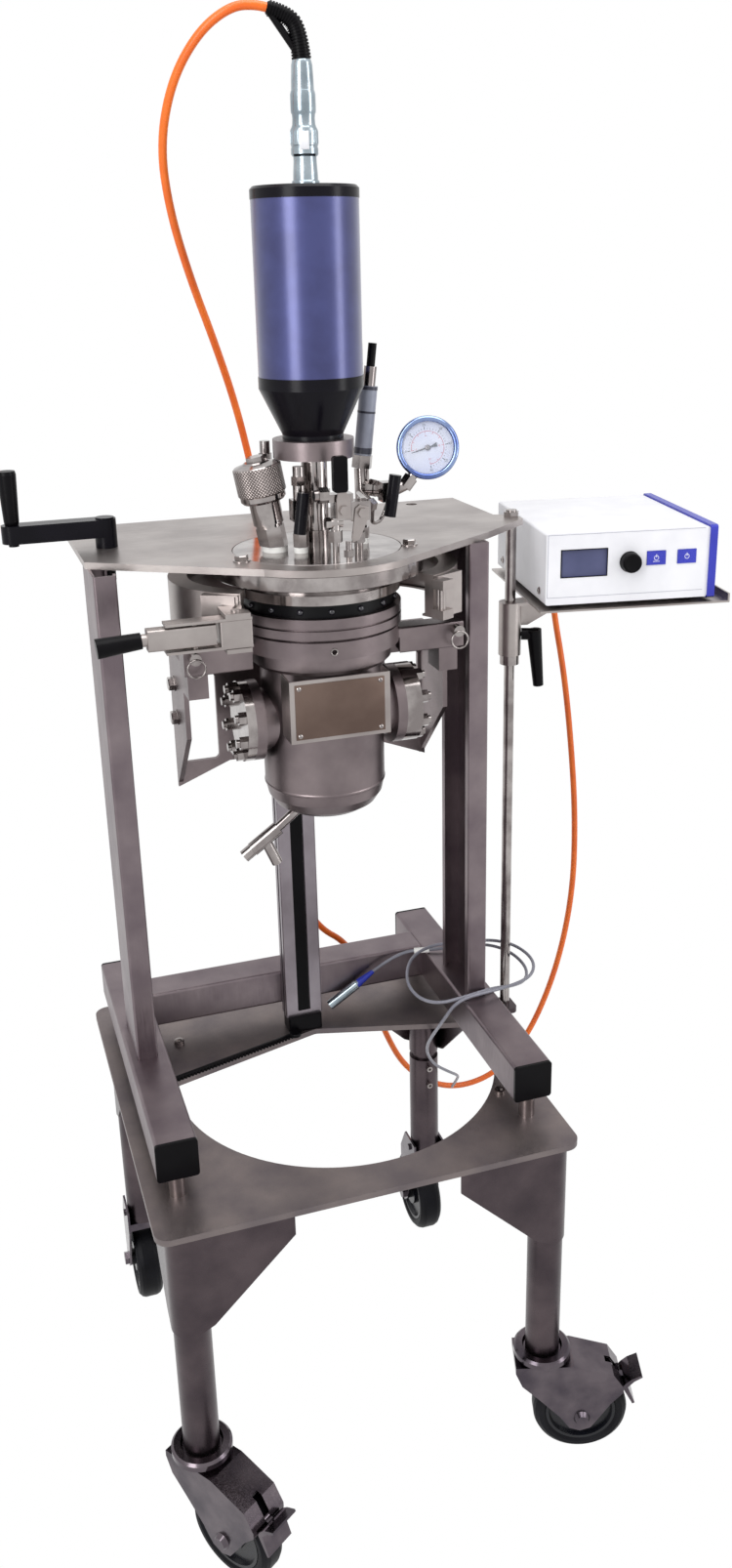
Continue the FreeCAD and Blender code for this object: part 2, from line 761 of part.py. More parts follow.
def lift_carriage():
    half = carriage_half
    outline = [(-half, carriage_z0), (-100, carriage_z0 + 27), (100, carriage_z0 + 27),
               (half, carriage_z0), (half, carriage_z1), (-half, carriage_z1)]
    back = side_plate(outline, carriage_y1 - carriage_t, carriage_y1)
    side_outline = [(carriage_y0, 980), (carriage_y1, carriage_z0), (carriage_y1, carriage_z1),
                    (carriage_y0, carriage_z1)]
    pieces = [back]
    for side in (-1, 1):
        window = block(side * 136 - 23, side * 136 + 23, 80, 110, carriage_z0 + 32, 1034)
        pieces[0] = pieces[0].cut(soften(window, 6.0, V(0, 1, 0)))
        x_out = side * half
        x_in = side * (half - carriage_t)
        pieces.append(end_plate(side_outline, min(x_in, x_out), max(x_in, x_out)))
        x_block = side * (half - 24)
        pieces.append(block(min(x_out, x_block), max(x_out, x_block), -24, carriage_y0 + 4, 1040, flange_z0 - 20))
        x_bolt = side * (half + 8)
        for y, z in ((70, 1034), (64, 992)):
            pieces.append(rod(V(x_in, y, z), V(x_bolt, y, z), 7))
    runner = block(column_x - 30, column_x + 30, carriage_y1, column_y0 - part_gap, carriage_z0 + 42, carriage_z1)
    return join(pieces + [runner] + side_arms())


def nameplate():
    sheet = block(plate_x0, plate_x0 + plate_w, plate_front_y, plate_front_y + 2, plate_z0, plate_z0 + plate_h)
    pieces = [sheet]
    for x in (plate_x0, plate_x0 + plate_w - 2):
        pieces.append(block(x, x + 2, plate_front_y, plate_front_y + 38, plate_z0, plate_z0 + plate_h))
    for x in (plate_x0 + 20, plate_x0 + plate_w - 30):
        foot = block(x, x + 10, plate_front_y + 2, -40, plate_z0 + 25, plate_z0 + 50)
        pieces.append(foot.cut(post(0, 0, 900, 1100, vessel_r)))
    return join(pieces).cut(post(0, 0, neck_z - 10, flange_z0, neck_r + 1))


def drain_valve():
    pipe = rod(V(-30, -7, 884), V(-82, -12, 846), 6)
    body = rod(V(-66, -12, 858), V(-100, -12, 834), 9)
    spout = rod(V(-84, -12, 846), V(-70, -14, 812), 7)
    valve = join([pipe, body, spout])
    valve = valve.cut(rod(drain_end + drain_axis * -1, drain_end + drain_axis * 0.1, drain_spindle_r + run_gap))
    return valve.cut(turned([(0, vessel_low_z - 2), (30, vessel_low_z), (50, vessel_low_z + 5),
                             (63, vessel_low_z + 13), (71, vessel_low_z + 25), (0, vessel_dish_z)]))


def drain_handle():
    wheel_part = rod(drain_end, drain_end + drain_axis, 8)
    return wheel_part.fuse(rod(drain_end + drain_axis * -0.8, drain_end, drain_spindle_r))


# Clamp

def clamp_section(keep_left):
    """Half ring with an inner groove, drawn closed."""
    ring = turned([(clamp_bore_r, clamp_z0 + 2.4), (clamp_bore_r, clamp_groove_z), (clamp_lip_r, clamp_groove_z),
                   (clamp_lip_r, clamp_z1), (clamp_r, clamp_z1), (clamp_r, clamp_z0), (ring_r - 3, clamp_z0),
                   (ring_r - 3, clamp_z0 + 2.4)])
    gap = 1.0
    if keep_left:
        return ring.common(block(-200, -gap, -200, 200, clamp_z0 - 1, clamp_z1 + 1))
    return ring.common(block(gap, 200, -200, 200, clamp_z0 - 1, clamp_z1 + 1))


def clamp_pivot():
    pin = post(0, pivot_y, clamp_z0 - 6, top_z - top_t, pivot_r)
    head = post(0, pivot_y, clamp_z0 - 12, clamp_z0 - 6, pivot_r + 3)
    return join([pin, head])


def clamp_half_left():
    ring = clamp_section(True)
    mid = (clamp_z0 + clamp_z1) / 2
    ear = block(-16, -2, clamp_r - 6, pivot_y, clamp_z0, mid - part_gap)
    eye = post(0, pivot_y, clamp_z0, mid - part_gap, 14)
    half = join([ring, ear, eye]).cut(post(0, pivot_y, clamp_z0 - 1, clamp_z1 + 1, pivot_r + run_gap))
    half = half.cut(post(0, 0, clamp_z0 + 2.4, clamp_groove_z, clamp_bore_r))
    lug = block(-45, -3, -118, -96, clamp_z0, clamp_z1 - 1).cut(post(0, 0, 1000, 1300, clamp_bore_r))
    half = turn_about(half.fuse(lug), 0, pivot_y, -clamp_open)
    upper = block(-140, -112, -124, -84, 1159.3, 1164)
    lower = block(-140, -112, -124, -84, 1120, 1124.7)
    web = block(-140, -112, -94, -84, 1120, 1164)
    pin = post(latch_x, latch_y, 1122, 1166, latch_pin_r)
    half = join([half, web, upper, lower, pin])
    other_side = block(0.5, 46, -119, -95, clamp_z0 - 1, clamp_z1 + 1)
    for closed in catch_ears(0.5) + [other_side]:
        half = half.cut(turn_about(closed, 0, pivot_y, -clamp_open))
    return half


def catch_ears(grow):
    """The two ears and the pin of the right half, drawn closed."""
    pieces = []
    for z0 in (clamp_z0 + 2, clamp_z1 - 14):
        pieces.append(block(-6 - grow, 12 + grow, -134 - grow, -116 + grow, z0 - grow, z0 + 11 + grow))
    pieces.append(post(1, -127, clamp_z0 + 2, clamp_z1 - 3, 4 + grow))
    return pieces


def clamp_half_right():
    ring = clamp_section(False)
    mid = (clamp_z0 + clamp_z1) / 2
    ear = block(2, 16, clamp_r - 6, pivot_y, mid, clamp_z1)
    eye = post(0, pivot_y, mid, clamp_z1, 14)
    half = join([ring, ear, eye]).cut(post(0, pivot_y, clamp_z0 - 1, clamp_z1 + 1, pivot_r + run_gap))
    lug = block(3, 45, -118, -96, clamp_z0, clamp_z1 - 1).cut(post(0, 0, 1000, 1300, clamp_bore_r))
    return turn_about(join([half, lug] + catch_ears(0)), 0, pivot_y, clamp_open)


def clamp_latch():
    hook = block(-146, -110, -123, -101, 1128, 1156)
    upper = block(-205, -110, -122, -102, 1156, 1159)
    lower = block(-205, -110, -122, -102, 1125, 1128)
    latch = join([soften(hook, 2.0), upper, lower])
    latch = latch.cut(post(latch_x, latch_y, 1100, 1200, latch_pin_r + run_gap))
    pin = post(lever_pin_x, latch_y, 1125, 1159, 4)
    latch = latch.fuse(pin)
    for notch in catch_ears(0.5):
        latch = latch.cut(turn_about(notch, 0, pivot_y, -clamp_open))
    return latch.removeSplitter()


def clamp_lever():
    bar = block(-224, -150, -121, -103, 1130, 1154)
    bar = soften(bar, 3.0, V(1, 0, 0))
    bar = bar.cut(post(lever_pin_x, latch_y, 1100, 1200, 4 + run_gap))
    neck = rod(V(-224, latch_y, 1142), V(-230, latch_y, 1142), 7)
    grip = taper(V(-230, latch_y, 1142), V(-278, latch_y, 1138), 9, 11)
    return join([bar, neck, grip])


def pull_pin(x, y, z, toward):
    """Spring pin with a knob and a pull ring."""
    base = V(x, y, z)
    end = base + toward * 12
    knob = rod(base, end, 7)
    ring = Part.makeTorus(10.5, 1.2, end + V(0, 0, -10.5) + toward, V(0, 1, 0))
    return knob.fuse(ring)


# Drive

def drive_lantern():
    collar = pipe_up(0, 0, collar_z0, collar_z1, collar_r, motor_neck_r - 8)
    web = pipe_up(0, 0, collar_z0, collar_z0 + 6, collar_r - 4, shaft_r + 1)
    foot = pipe_up(0, 0, top_z, top_z + 22, 17, shaft_r + 1)
    tube = pipe_up(0, 0, top_z + 22, collar_z0, 15, shaft_r + 1)
    nut = shift(hexagon(18.5, 12), 0, 0, 1258).cut(post(0, 0, 1250, 1280, shaft_r + 1))
    return join([collar, web, foot, tube, nut])


def motor_caps():
    low = turned([(0, collar_z1), (motor_neck_r, collar_z1), (motor_neck_r, motor_neck_z), (cone_r, cone_z),
                  (cone_r, body_z0), (0, body_z0)])
    high = turned([(0, body_z1), (cone_r, body_z1), (cone_r, motor_top - 3), (cone_r - 3, motor_top),
                   (0, motor_top)])
    return group([low, high])


def motor_body():
    return turned([(0, body_z0), (body_r, body_z0), (body_r, body_z1), (0, body_z1)])


def motor_connector():
    z = motor_top
    top = sleeve_route[0].z
    body = turned([(0, z), (15, z), (15, z + 5), (13.5, z + 6), (12.5, z + 24), (12.5, z + 29), (14.7, z + 31),
                   (14.7, z + 56), (13, z + 58), (12, z + 66), (13.4, z + 72), (13.4, z + 91), (12.4, z + 94),
                   (11.2, z + 117), (10, top), (0, top)], connector_x, 0)
    sleeve = cord(sleeve_route, sleeve_r, "sleeve")
    return group([body, sleeve])


def stirrer():
    shaft = post(0, 0, stirrer_low, collar_z0 + 12, shaft_r)
    pieces = [shaft, post(0, 0, stirrer_low + 6, stirrer_low + 26, 11)]
    for k in range(4):
        blade = block(8, blade_r, -1.5, 1.5, stirrer_low + 4, stirrer_low + 28)
        blade.rotate(V(8, 0, stirrer_low + 16), V(1, 0, 0), 40)
        pieces.append(turn_about(blade, 0, 0, 90 * k))
    return join(pieces)


# Crank

def crank_arm():
    x1 = crank_x - crank_reach
    half = crank_w / 2
    bar = block(x1, crank_x, crank_y - half, crank_y + half, crank_arm_z0, crank_arm_z1)
    ends = [post(x1, crank_y, crank_arm_z0, crank_arm_z1, half),
            post(crank_x, crank_y, crank_arm_z0, crank_arm_z1, half)]
    hub = post(crank_x, crank_y, top_z + part_gap, crank_arm_z0, 13)
    shaft = post(crank_x, crank_y, top_z - 40, top_z + part_gap, 8)
    disc = post(crank_x, crank_y, crank_arm_z1, crank_arm_z1 + 1.5, 11)
    bolt = post(x1, crank_y, crank_arm_z0 - 4, crank_arm_z0, 6)
    spindle = post(x1, crank_y, crank_arm_z1, crank_arm_z1 + 58, 4)
    return join([bar, hub, shaft, disc, bolt, spindle] + ends)


def crank_grip():
    x1 = crank_x - crank_reach
    z0 = crank_arm_z1 + part_gap
    grip = turned([(0, z0), (8, z0), (8.8, z0 + 4), (11, z0 + 58), (10, z0 + 62), (0, z0 + 62)], x1, crank_y)
    return grip.cut(post(x1, crank_y, z0 - 1, crank_arm_z1 + 58 + part_gap, 4 + run_gap))


# Fittings on the lid

def hex_along(start, end, r):
    """Hexagonal nut between two points; r is the radius over its corners."""
    line = end.sub(start)
    return aim(hexagon(r, line.Length), start, line)


def slanting_port():
    ring_top = top_z + white_ring_h + part_gap
    above_ring = block(-200, 200, -200, 200, ring_top, 1400)
    foot = cap_foot + port_slope * 2
    hex_end = cap_foot + port_slope * 30
    pieces = [hex_along(foot, hex_end, 17).common(above_ring),
              rod(foot, hex_end, 14).common(above_ring),
              rod(hex_end, cap_foot + port_slope * 34, 16),
              rod(cap_foot + port_slope * 34, cap_foot + port_slope * 60, 18),
              rod(cap_foot + port_slope * 60, cap_foot + port_slope * 96, 16),
              post(cap_foot.x, cap_foot.y, top_z, ring_top + 6, 8.7)]
    return join(pieces)


def port_cap():
    bottom = cap_foot + port_slope * (60 + part_gap)
    cap = turned([(0, 0), (24, 0), (26.5, 3), (26.5, 8), (cap_knurl_r, 10), (cap_knurl_r, 39.5),
                  (cap_knurl_r - 2, 41.5), (16, 44), (14, 45.5), (0, 45.5)])
    cap = cap.cut(Part.makeCylinder(16 + run_gap, 36 + part_gap))
    cap = cap.fuse(shift(hexagon(10.5, 6), 0, 0, 45))
    return aim(cap, bottom, port_slope)


def needle_valve_body():
    x = needle_valve.x
    y = needle_valve.y
    ring_top = top_z + white_ring_h + part_gap
    pieces = [post(x, y, top_z, ring_top + 6, 4.7),
              hex_along(V(x, y, ring_top), V(x, y, 1225), 9),
              post(x, y, 1225, 1240, 6),
              block(x - 10, x + 7, y - 9, y + 9, 1240, 1264),
              post(x, y, 1264, 1280, 7),
              hex_along(V(x, y, 1280), V(x, y, 1290), 8.6),
              post(x, y, 1290, 1301, 6.5)]
    bore = rod(needle_spindle, needle_spindle + V(0, 22, 0), gauge_spindle_r + run_gap)
    return join(pieces).cut(bore)


def front_ball_valve():
    x = front_tube.x
    y = front_tube.y
    pieces = [post(x, y, top_z, 1225, 4), hex_along(V(x, y, 1223), V(x, y, 1236), 8),
              post(x, y, 1236, 1250, 5),
              hex_along(V(x - 12, y, 1244), V(x - 6, y, 1244), 7), rod(V(x - 8, y, 1244), V(x + 8, y, 1244), 5),
              block(-0.4, 19, -82, -62, 1247, 1268),
              block(-6.7, 21.7, -79, -63, 1267, 1276),
              hex_along(V(-17, -72, 1275), V(-6, -72, 1275), 9),
              rod(V(-22, -72, 1275), V(-17, -72, 1275), 6)]
    bore = rod(ball_pivot + V(0, -1, 0), ball_pivot + V(0, 12, 0), ball_screw_r + run_gap)
    return join(pieces).cut(bore)


def rear_ball_valve():
    pieces = [block(24, 46, -66, -46, 1242, 1264), post(34, -56, top_z, 1242, 5),
              hex_along(V(34, -56, 1216), V(34, -56, 1228), 8),
              hex_along(V(46, -54, 1256), V(54, -46, 1256), 8),
              rod(V(54, -46, 1256), V(66, 34, 1256), 4.8),
              rod(V(19 + part_gap, -64, 1257), V(24, -64, 1257), 2.8)]
    bore = rod(rear_ball_screw + V(0, -1, 0), rear_ball_screw + V(0, 12, 0), ball_screw_r + run_gap)
    return join(pieces).cut(bore)


def sensor_manifold():
    foot = sensor_foot - sensor_axis * 15
    pieces = [hex_along(foot, sensor_foot, 12.5),
              rod(V(70, 38, 1246), foot, 9),
              rod(V(70, 38, 1264), V(82, 20, 1262), 7),
              hex_along(V(76, 29, 1263), V(82, 20, 1262), 10),
              hex_along(V(83, 18, 1262), V(89, 9, 1262), 10),
              block(80, 98, -9, 9, 1250, 1273),
              rod(V(98, 0, 1262), V(113, 0, 1268), 6.5),
              hex_along(V(110, 0, 1265), V(119, 0, 1276), 9),
              rod(V(119, 0, 1276), V(123, 0, 1281), 6),
              post(rear_port.x, rear_port.y, top_z, top_z + white_ring_h + 8, 3.7),
              hex_along(V(57.3, 0.3, top_z + white_ring_h + part_gap), V(57.3, 0.3, 1222), 8),
              rod(V(57.3, 0.3, 1222), V(66, 30, 1252), 5)]
    bore = rod(gauge_valve_centre, gauge_valve_centre + V(0, 16, 0), gauge_spindle_r + run_gap)
    gauge_room = aim(Part.makeCylinder(gauge_r + 0.1, 60), gauge_centre - gauge_dir * 20, gauge_dir)
    return join(pieces).cut(bore).cut(gauge_room)


def lid_fittings():
    thin_tube = cord([V(54, -48, 1250), V(60, -26, 1229), V(80, -4, 1229), V(90, 0, 1251)], 2.4, "thin tube")
    pieces = [slanting_port(), needle_valve_body(), front_ball_valve()]
    manifold = join([rear_ball_valve(), sensor_manifold(), thin_tube])
    pieces.append(manifold)
    pieces.append(post(11, -92, top_z, 1226, 3.5).fuse(hex_along(V(11, -92, 1208), V(11, -92, 1216), 6)))
    pieces.append(post(-48, 38, top_z, 1324, 6).fuse(hex_along(V(-48, 38, 1296), V(-48, 38, 1310), 8)))
    return group(pieces)


def pressure_sensor():
    return join([rod(sensor_foot, sensor_foot + sensor_axis * 80, 10.5),
                 rod(sensor_foot + sensor_axis * 80, sensor_foot + sensor_axis * 102, 7.5),
                 rod(sensor_foot + sensor_axis * 102, sensor_foot + sensor_axis * 128, 5)])


def gauge_case():
    case = Part.makeCylinder(gauge_r, 26)
    case = case.cut(shift(Part.makeCylinder(gauge_r - 4, 6), 0, 0, 22))
    case = case.fuse(shift(Part.makeCylinder(2, 2.5), 0, 0, 22))
    return aim(case, gauge_centre - gauge_dir * 20, gauge_dir)


def gauge_pointer():
    needle = Part.makeBox(32, 2, 1, V(-24, -1, 0))
    boss = Part.makeCylinder(4, 1.6)
    pointer = needle.fuse(boss).cut(Part.makeCylinder(2 + run_gap, 5, V(0, 0, -1)))
    return aim(shift(pointer, 0, 0, 2.6), gauge_centre, gauge_dir)


def needle_valve_handle():
    bar = rod(needle_spindle + V(-3.2, 0, -23), needle_spindle + V(3.2, 0, 23), 7.2)
    return bar.fuse(rod(needle_spindle, needle_spindle + V(0, 21, 0), gauge_spindle_r))


def gauge_valve_handle():
    bar = rod(gauge_valve_centre + V(-4, 0, -24), gauge_valve_centre + V(4, 0, 24), 7.2)
    return bar.fuse(rod(gauge_valve_centre, gauge_valve_centre + gauge_valve_axis * 15, gauge_spindle_r))


def front_ball_lever():
    """Steel strap with its screw, and the black sleeve pushed over its end."""
    x = ball_pivot.x
    y = ball_pivot.y
    z = ball_pivot.z
    strap = side_plate([(x - 8, z - 9), (x + 8, z - 9), (x + 8, z + 12), (x + 2, z + 22), (x - 6, z + 22),
                        (x - 8, z + 12)], y - 2.5, y)
    screw = rod(V(x, y + 10, z), V(x, y, z), ball_screw_r)
    head = aim(hexagon(6, 4), V(x, y - 2.5, z), V(0, -1, 0))
    sleeve = block(x - 11.7, x + 4.8, y - 5.5, y + 3, z + 20.3, z + 59.8)
    sleeve = soften(sleeve, 3.5, V(0, 1, 0))
    return join([strap, screw, head, sleeve])


def rear_ball_lever():
    x = rear_ball_screw.x
    y = rear_ball_screw.y
    z = rear_ball_screw.z
    strap = side_plate([(x - 8, z + 5), (x - 3, z + 9), (x + 8, z + 6), (x + 7, z - 6), (x - 4, z - 30),
                        (x - 12, z - 33), (x - 13, z - 28)], y - 2.5, y)
    screw = rod(V(x, y + 10, z), V(x, y, z), ball_screw_r)
    head = aim(hexagon(6, 4), V(x, y - 2.5, z), V(0, -1, 0))
    return join([strap, screw, head])


# Rod, shelf and control box

def box_place(shape):
    """Moves a shape drawn in the control box's own frame to its place on the shelf."""
    placed = turn_about(shape, 0, 0, box_turn)
    return shift(placed, box_x, box_y, 0)


def support_rod():
    nut = shift(hexagon(10.5, 7), rod_x, rod_y, top_z)
    return post(rod_x, rod_y, rod_foot_z, rod_top_z, rod_r).fuse(nut)


def shelf_stop_ring():
    return pipe_up(rod_x, rod_y, stop_ring_z0, shelf_collar_z0 - part_gap, stop_ring_r, rod_r + run_gap)


def shelf_tray():
    floor = block(-8, box_w + 20, -6, box_d + 4, shelf_z, shelf_z + 2.5)
    right_lip = block(box_w + 17.5, box_w + 20, -6, box_d + 4, shelf_z, shelf_z + 12)
    gusset = side_plate([(-20, shelf_z - 34), (-4, shelf_z - 34), (60, shelf_z), (-20, shelf_z)], 68, 72)
    tray = box_place(join([floor, right_lip, gusset]))
    collar = post(rod_x, rod_y, shelf_collar_z0, shelf_z, shelf_collar_r)
    tongue = block(rod_x, rod_x + 40, rod_y - 14, rod_y + 14, shelf_z - 4, shelf_z)
    tray = join([tray, collar, tongue])
    start = V(rod_x, rod_y, clamp_screw_z)
    tray = tray.cut(rod(start, start + clamp_screw_axis * 30, clamp_screw_r + run_gap))
    return tray.cut(post(rod_x, rod_y, 900, 1300, rod_r + run_gap))


def shelf_clamp_lever():
    centre = V(rod_x, rod_y, clamp_screw_z)
    screw = rod(centre + clamp_screw_axis * (rod_r + 0.5), centre + clamp_screw_axis * 20, clamp_screw_r)
    hub = rod(centre + clamp_screw_axis * (shelf_collar_r + part_gap), centre + clamp_screw_axis * 38, 8)
    top = centre + clamp_screw_axis * 32 + V(0, 0, 6)
    arm = taper(top, top + V(8, 0, -78), 10, 7)
    return join([screw, hub, arm])


def control_box():
    z0 = box_top - box_h
    shell = block(0, box_w - 10, 0, box_d, z0, box_top)
    shell = soften(shell, 3.0, V(0, 1, 0))
    shell = shell.cut(block(20, 80, -1, 3, 1134, 1168.5))
    for u0 in (133, 174):
        shell = shell.cut(block(u0 - 0.3, u0 + 25.3, -1, 5.5, 1143.7, 1162.3))
    shell = shell.cut(rod(V(knob_u, -1, knob_z), V(knob_u, 12, knob_z), 3 + run_gap))
    panel = block(box_w - 10, box_w, -2, box_d + 2, z0 - 2, box_top + 2)
    panel = soften(panel, 4.0, V(1, 0, 0))
    feet = []
    for u in (20, box_w - 30):
        for v in (22, box_d - 22):
            feet.append(post(u, v, shelf_z + 2.5, z0, 8))
    window = block(20, 80, 2, 3, 1134, 1168.5)
    gland_end = motor_cable_route[-1]
    back = motor_cable_route[-2].sub(gland_end).normalize()
    gland = rod(gland_end, gland_end - back * 40, 9)
    shell = box_place(shell)
    gland = gland.cut(shell)
    return group([shell, gland] + [box_place(piece) for piece in [panel, window] + feet])


def knob():
    turn_knob = rod(V(knob_u, -part_gap, knob_z), V(knob_u, -14, knob_z), 13.5)
    shaft = rod(V(knob_u, -part_gap, knob_z), V(knob_u, 10, knob_z), 3)
    return box_place(join([turn_knob, shaft]))


def button(u0):
    return box_place(block(u0, u0 + 25, -1, 2.5, 1144, 1162))


nodes = {
    "trolley_plate": trolley_plate(),
    "trolley_legs": trolley_legs(),
    "caster_head_left": caster_head(0),
    "caster_head_right": caster_head(1),
    "brake_pedal_left": brake_pedal(0),
    "brake_pedal_right": brake_pedal(1),
    "front_wheel_left": front_wheel(0),
    "front_wheel_right": front_wheel(1),
    "rear_caster_forks": rear_caster_forks(),
    "rear_wheel_left": rear_wheel(0),
    "rear_wheel_right": rear_wheel(1),
    "base_rails": base_rails(),
    "plastic_trim": plastic_trim(),
    "frame_fasteners": frame_fasteners(),
    "uprights": uprights(),
    "lift_column": lift_column(),
    "top_plate": top_plate(),
    "reactor_lid": reactor_lid(),
    "seals": seals(),
    "vessel_body": vessel_body(),
    "side_port_covers": side_port_covers(),
    "carriage_bolts": carriage_bolts(),
    "lift_carriage": lift_carriage(),
    "nameplate": nameplate(),
    "drain_valve": drain_valve(),
    "drain_handle": drain_handle(),
    "clamp_pivot": clamp_pivot(),
    "clamp_half_left": clamp_half_left(),
    "clamp_half_right": clamp_half_right(),
    "clamp_latch": clamp_latch(),
    "clamp_lever": clamp_lever(),
    "pull_pin_left": pull_pin(-160, -30, 1093, V(0, -1, 0)),
    "pull_pin_right": pull_pin(164, -30, 1093, V(0, -1, 0)),
    "drive_lantern": drive_lantern(),
    "motor_caps": motor_caps(),
    "motor_body": motor_body(),
    "motor_connector": motor_connector(),
    "stirrer": stirrer(),
    "crank_arm": crank_arm(),
    "crank_grip": crank_grip(),
    "lid_fittings": lid_fittings(),
    "port_cap": port_cap(),
    "pressure_sensor": pressure_sensor(),
    "gauge_case": gauge_case(),
    "gauge_pointer": gauge_pointer(),
    "needle_valve_handle": needle_valve_handle(),
    "gauge_valve_handle": gauge_valve_handle(),
    "ball_valve_lever": front_ball_lever(),
    "rear_ball_lever": rear_ball_lever(),
    "support_rod": support_rod(),
    "shelf_stop_ring": shelf_stop_ring(),
    "shelf_tray": shelf_tray(),
    "shelf_clamp_lever": shelf_clamp_lever(),
    "control_box": control_box(),
    "knob": knob(),
    "button_left": button(133),
    "button_right": button(174),
}

cords = {
    "motor_cable": motor_cable(),
    "sensor_cable": sensor_cable(),
    "sensor_plug": sensor_plug(),
}

whole = FreeCAD.BoundBox()
for name, shape in nodes.items():
    whole.add(shape.BoundBox)
to_middle = V(-whole.Center.x, -whole.Center.y, 0)
print("vessel axis after the move", to_middle)
print("lift of the vessel", lift_travel, "in crank turns", crank_turns)
print("size", whole.XLength, whole.YLength, whole.ZMin, whole.ZMax)

nodes.update(cords)
for name, shape in nodes.items():
    moved = shape.copy()
    moved.translate(to_middle)
    moved.exportStep(os.path.join("parts", name + ".step"))
    print(name, len(moved.Solids), moved.isValid(), round(moved.Volume / 1000, 1))
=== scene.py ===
import math

import bpy
from mathutils import Matrix, Vector


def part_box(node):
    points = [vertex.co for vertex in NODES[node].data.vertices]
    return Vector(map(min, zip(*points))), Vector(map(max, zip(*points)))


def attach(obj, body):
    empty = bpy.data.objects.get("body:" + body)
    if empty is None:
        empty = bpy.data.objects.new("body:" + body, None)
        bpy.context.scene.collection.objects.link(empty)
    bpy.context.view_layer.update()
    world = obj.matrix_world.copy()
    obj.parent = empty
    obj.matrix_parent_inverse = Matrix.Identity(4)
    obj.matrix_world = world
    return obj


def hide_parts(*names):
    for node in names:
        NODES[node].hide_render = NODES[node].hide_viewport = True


bl_info = {
    "name": "High-Pressure Reactor",
    "version": (1, 0, 0),
    "blender": (4, 5, 0),
    "location": "View3D > Sidebar > Reactor",
    "description": "Dresses a packed high-pressure laboratory reactor with its finishes and fittings",
    "category": "Object",
}

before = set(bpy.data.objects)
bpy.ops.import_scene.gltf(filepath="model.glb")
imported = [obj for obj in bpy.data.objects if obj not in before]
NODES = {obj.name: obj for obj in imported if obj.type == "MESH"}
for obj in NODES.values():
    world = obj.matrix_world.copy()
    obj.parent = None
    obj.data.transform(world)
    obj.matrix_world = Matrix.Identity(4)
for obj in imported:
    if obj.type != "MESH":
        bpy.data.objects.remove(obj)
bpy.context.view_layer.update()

# The reactor's axis runs up through the middle of the motor.
MOTOR_LOW, MOTOR_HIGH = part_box("motor_body")
AXIS = (MOTOR_LOW + MOTOR_HIGH) / 2


def at(x, y, z):
    """A point given in millimetres from the reactor's axis and the floor, in metres."""
    return Vector((AXIS.x + x / 1000, AXIS.y + y / 1000, z / 1000))


def mm(length):
    return length / 1000


# The large port cap: the foot of its axis on the lid and the way that it leans. Its knurl is drawn
# coarser than real, so that it shows: ridges 4 mm apart along it, and 22 waves of two ridges round it.
CAP_FOOT = at(-50.7, -0.3, 1202.5)
CAP_AXIS = Vector((-0.174, 0, 0.985)).normalized()
KNURL_PITCH, KNURL_WAVES, KNURL_HEIGHT = 4.0, 22.0, 0.5
KNURL_LOW, KNURL_HIGH, KNURL_RADIUS = 69, 101, 27.2

# The control box: its front left corner in millimetres, how far it is turned, and its display's sides.
BOX_CORNER = (303, 11)
BOX_TURN = math.radians(-9.4)
DISPLAY_LEFT, DISPLAY_RIGHT = 19, 81

# The gauge's dial: where its scale starts and its steps, in degrees, and its ink and hand above its foot.
SCALE_START, SCALE_STEP = 190, 45
INK_HEIGHT, INK_DEPTH, HAND_HEIGHT = 2.24, 0.08, 3.2

# The motor's connector stands on the motor's upper cap. The bend sleeve's ribs lie 3.1 mm apart.
CONNECTOR_PLACE = at(2, 0, 0)
CONNECTOR_FOOT = 1596
SLEEVE_RIBS, SLEEVE_PITCH, SLEEVE_END = 21, 3.1, 66

# The photograph's frame and the camera fitted to it, with its turns in degrees and the rest in pixels.
PHOTO_HEIGHT = 1606
CAMERA_PLACE = at(-423.6, -1498.0, 1524.3)
CAMERA_YAW, CAMERA_PITCH, CAMERA_ROLL = 18.304, -19.788, -1.185
FOCAL_LENGTH, SHIFT_ACROSS, SHIFT_UP = 1368.47, -13.2, -49.4
SENSOR_HEIGHT = 36.0
# Each soft lamp: its name, place, width, height and power.
LAMPS = [("left_softbox", at(-1700, -1500, 2000), 0.9, 2.4, 40),
         ("right_softbox", at(1900, -1300, 1800), 0.6, 2.4, 22),
         ("top_softbox", at(0, -400, 3400), 2.2, 1.8, 40)]
# The world lights the object at this level, and shows itself as white.
WORLD_LEVEL = 0.4

# Routes of the two cords, in millimetres from the reactor's axis and the floor.
SLEEVE_ROUTE = [(2, 0, 1719), (0, 0, 1744), (-10, 1, 1760), (-32, 3, 1766)]
MOTOR_CABLE_ROUTE = [
    (-32, 3, 1766), (-43, 4, 1769), (-70, 8, 1767), (-102, 24, 1744), (-128, 50, 1700), (-139, 78, 1640),
    (-128, 106, 1575), (-104, 138, 1505), (-72, 174, 1430), (-42, 210, 1352), (-18, 242, 1268),
    (0, 264, 1180), (11, 274, 1070), (12, 272, 940), (8, 268, 825), (10, 266, 720),
    (22, 264, 632), (54, 263, 560), (102, 268, 522), (138, 278, 440), (162, 287, 345),
    (206, 294, 248), (284, 299, 190), (370, 300, 200), (432, 300, 268), (480, 300, 385),
    (506, 302, 520), (508, 306, 655), (499, 312, 785), (488, 322, 900), (477, 342, 995),
    (473, 352, 1068), (469, 321, 1119), (459, 261, 1125)]
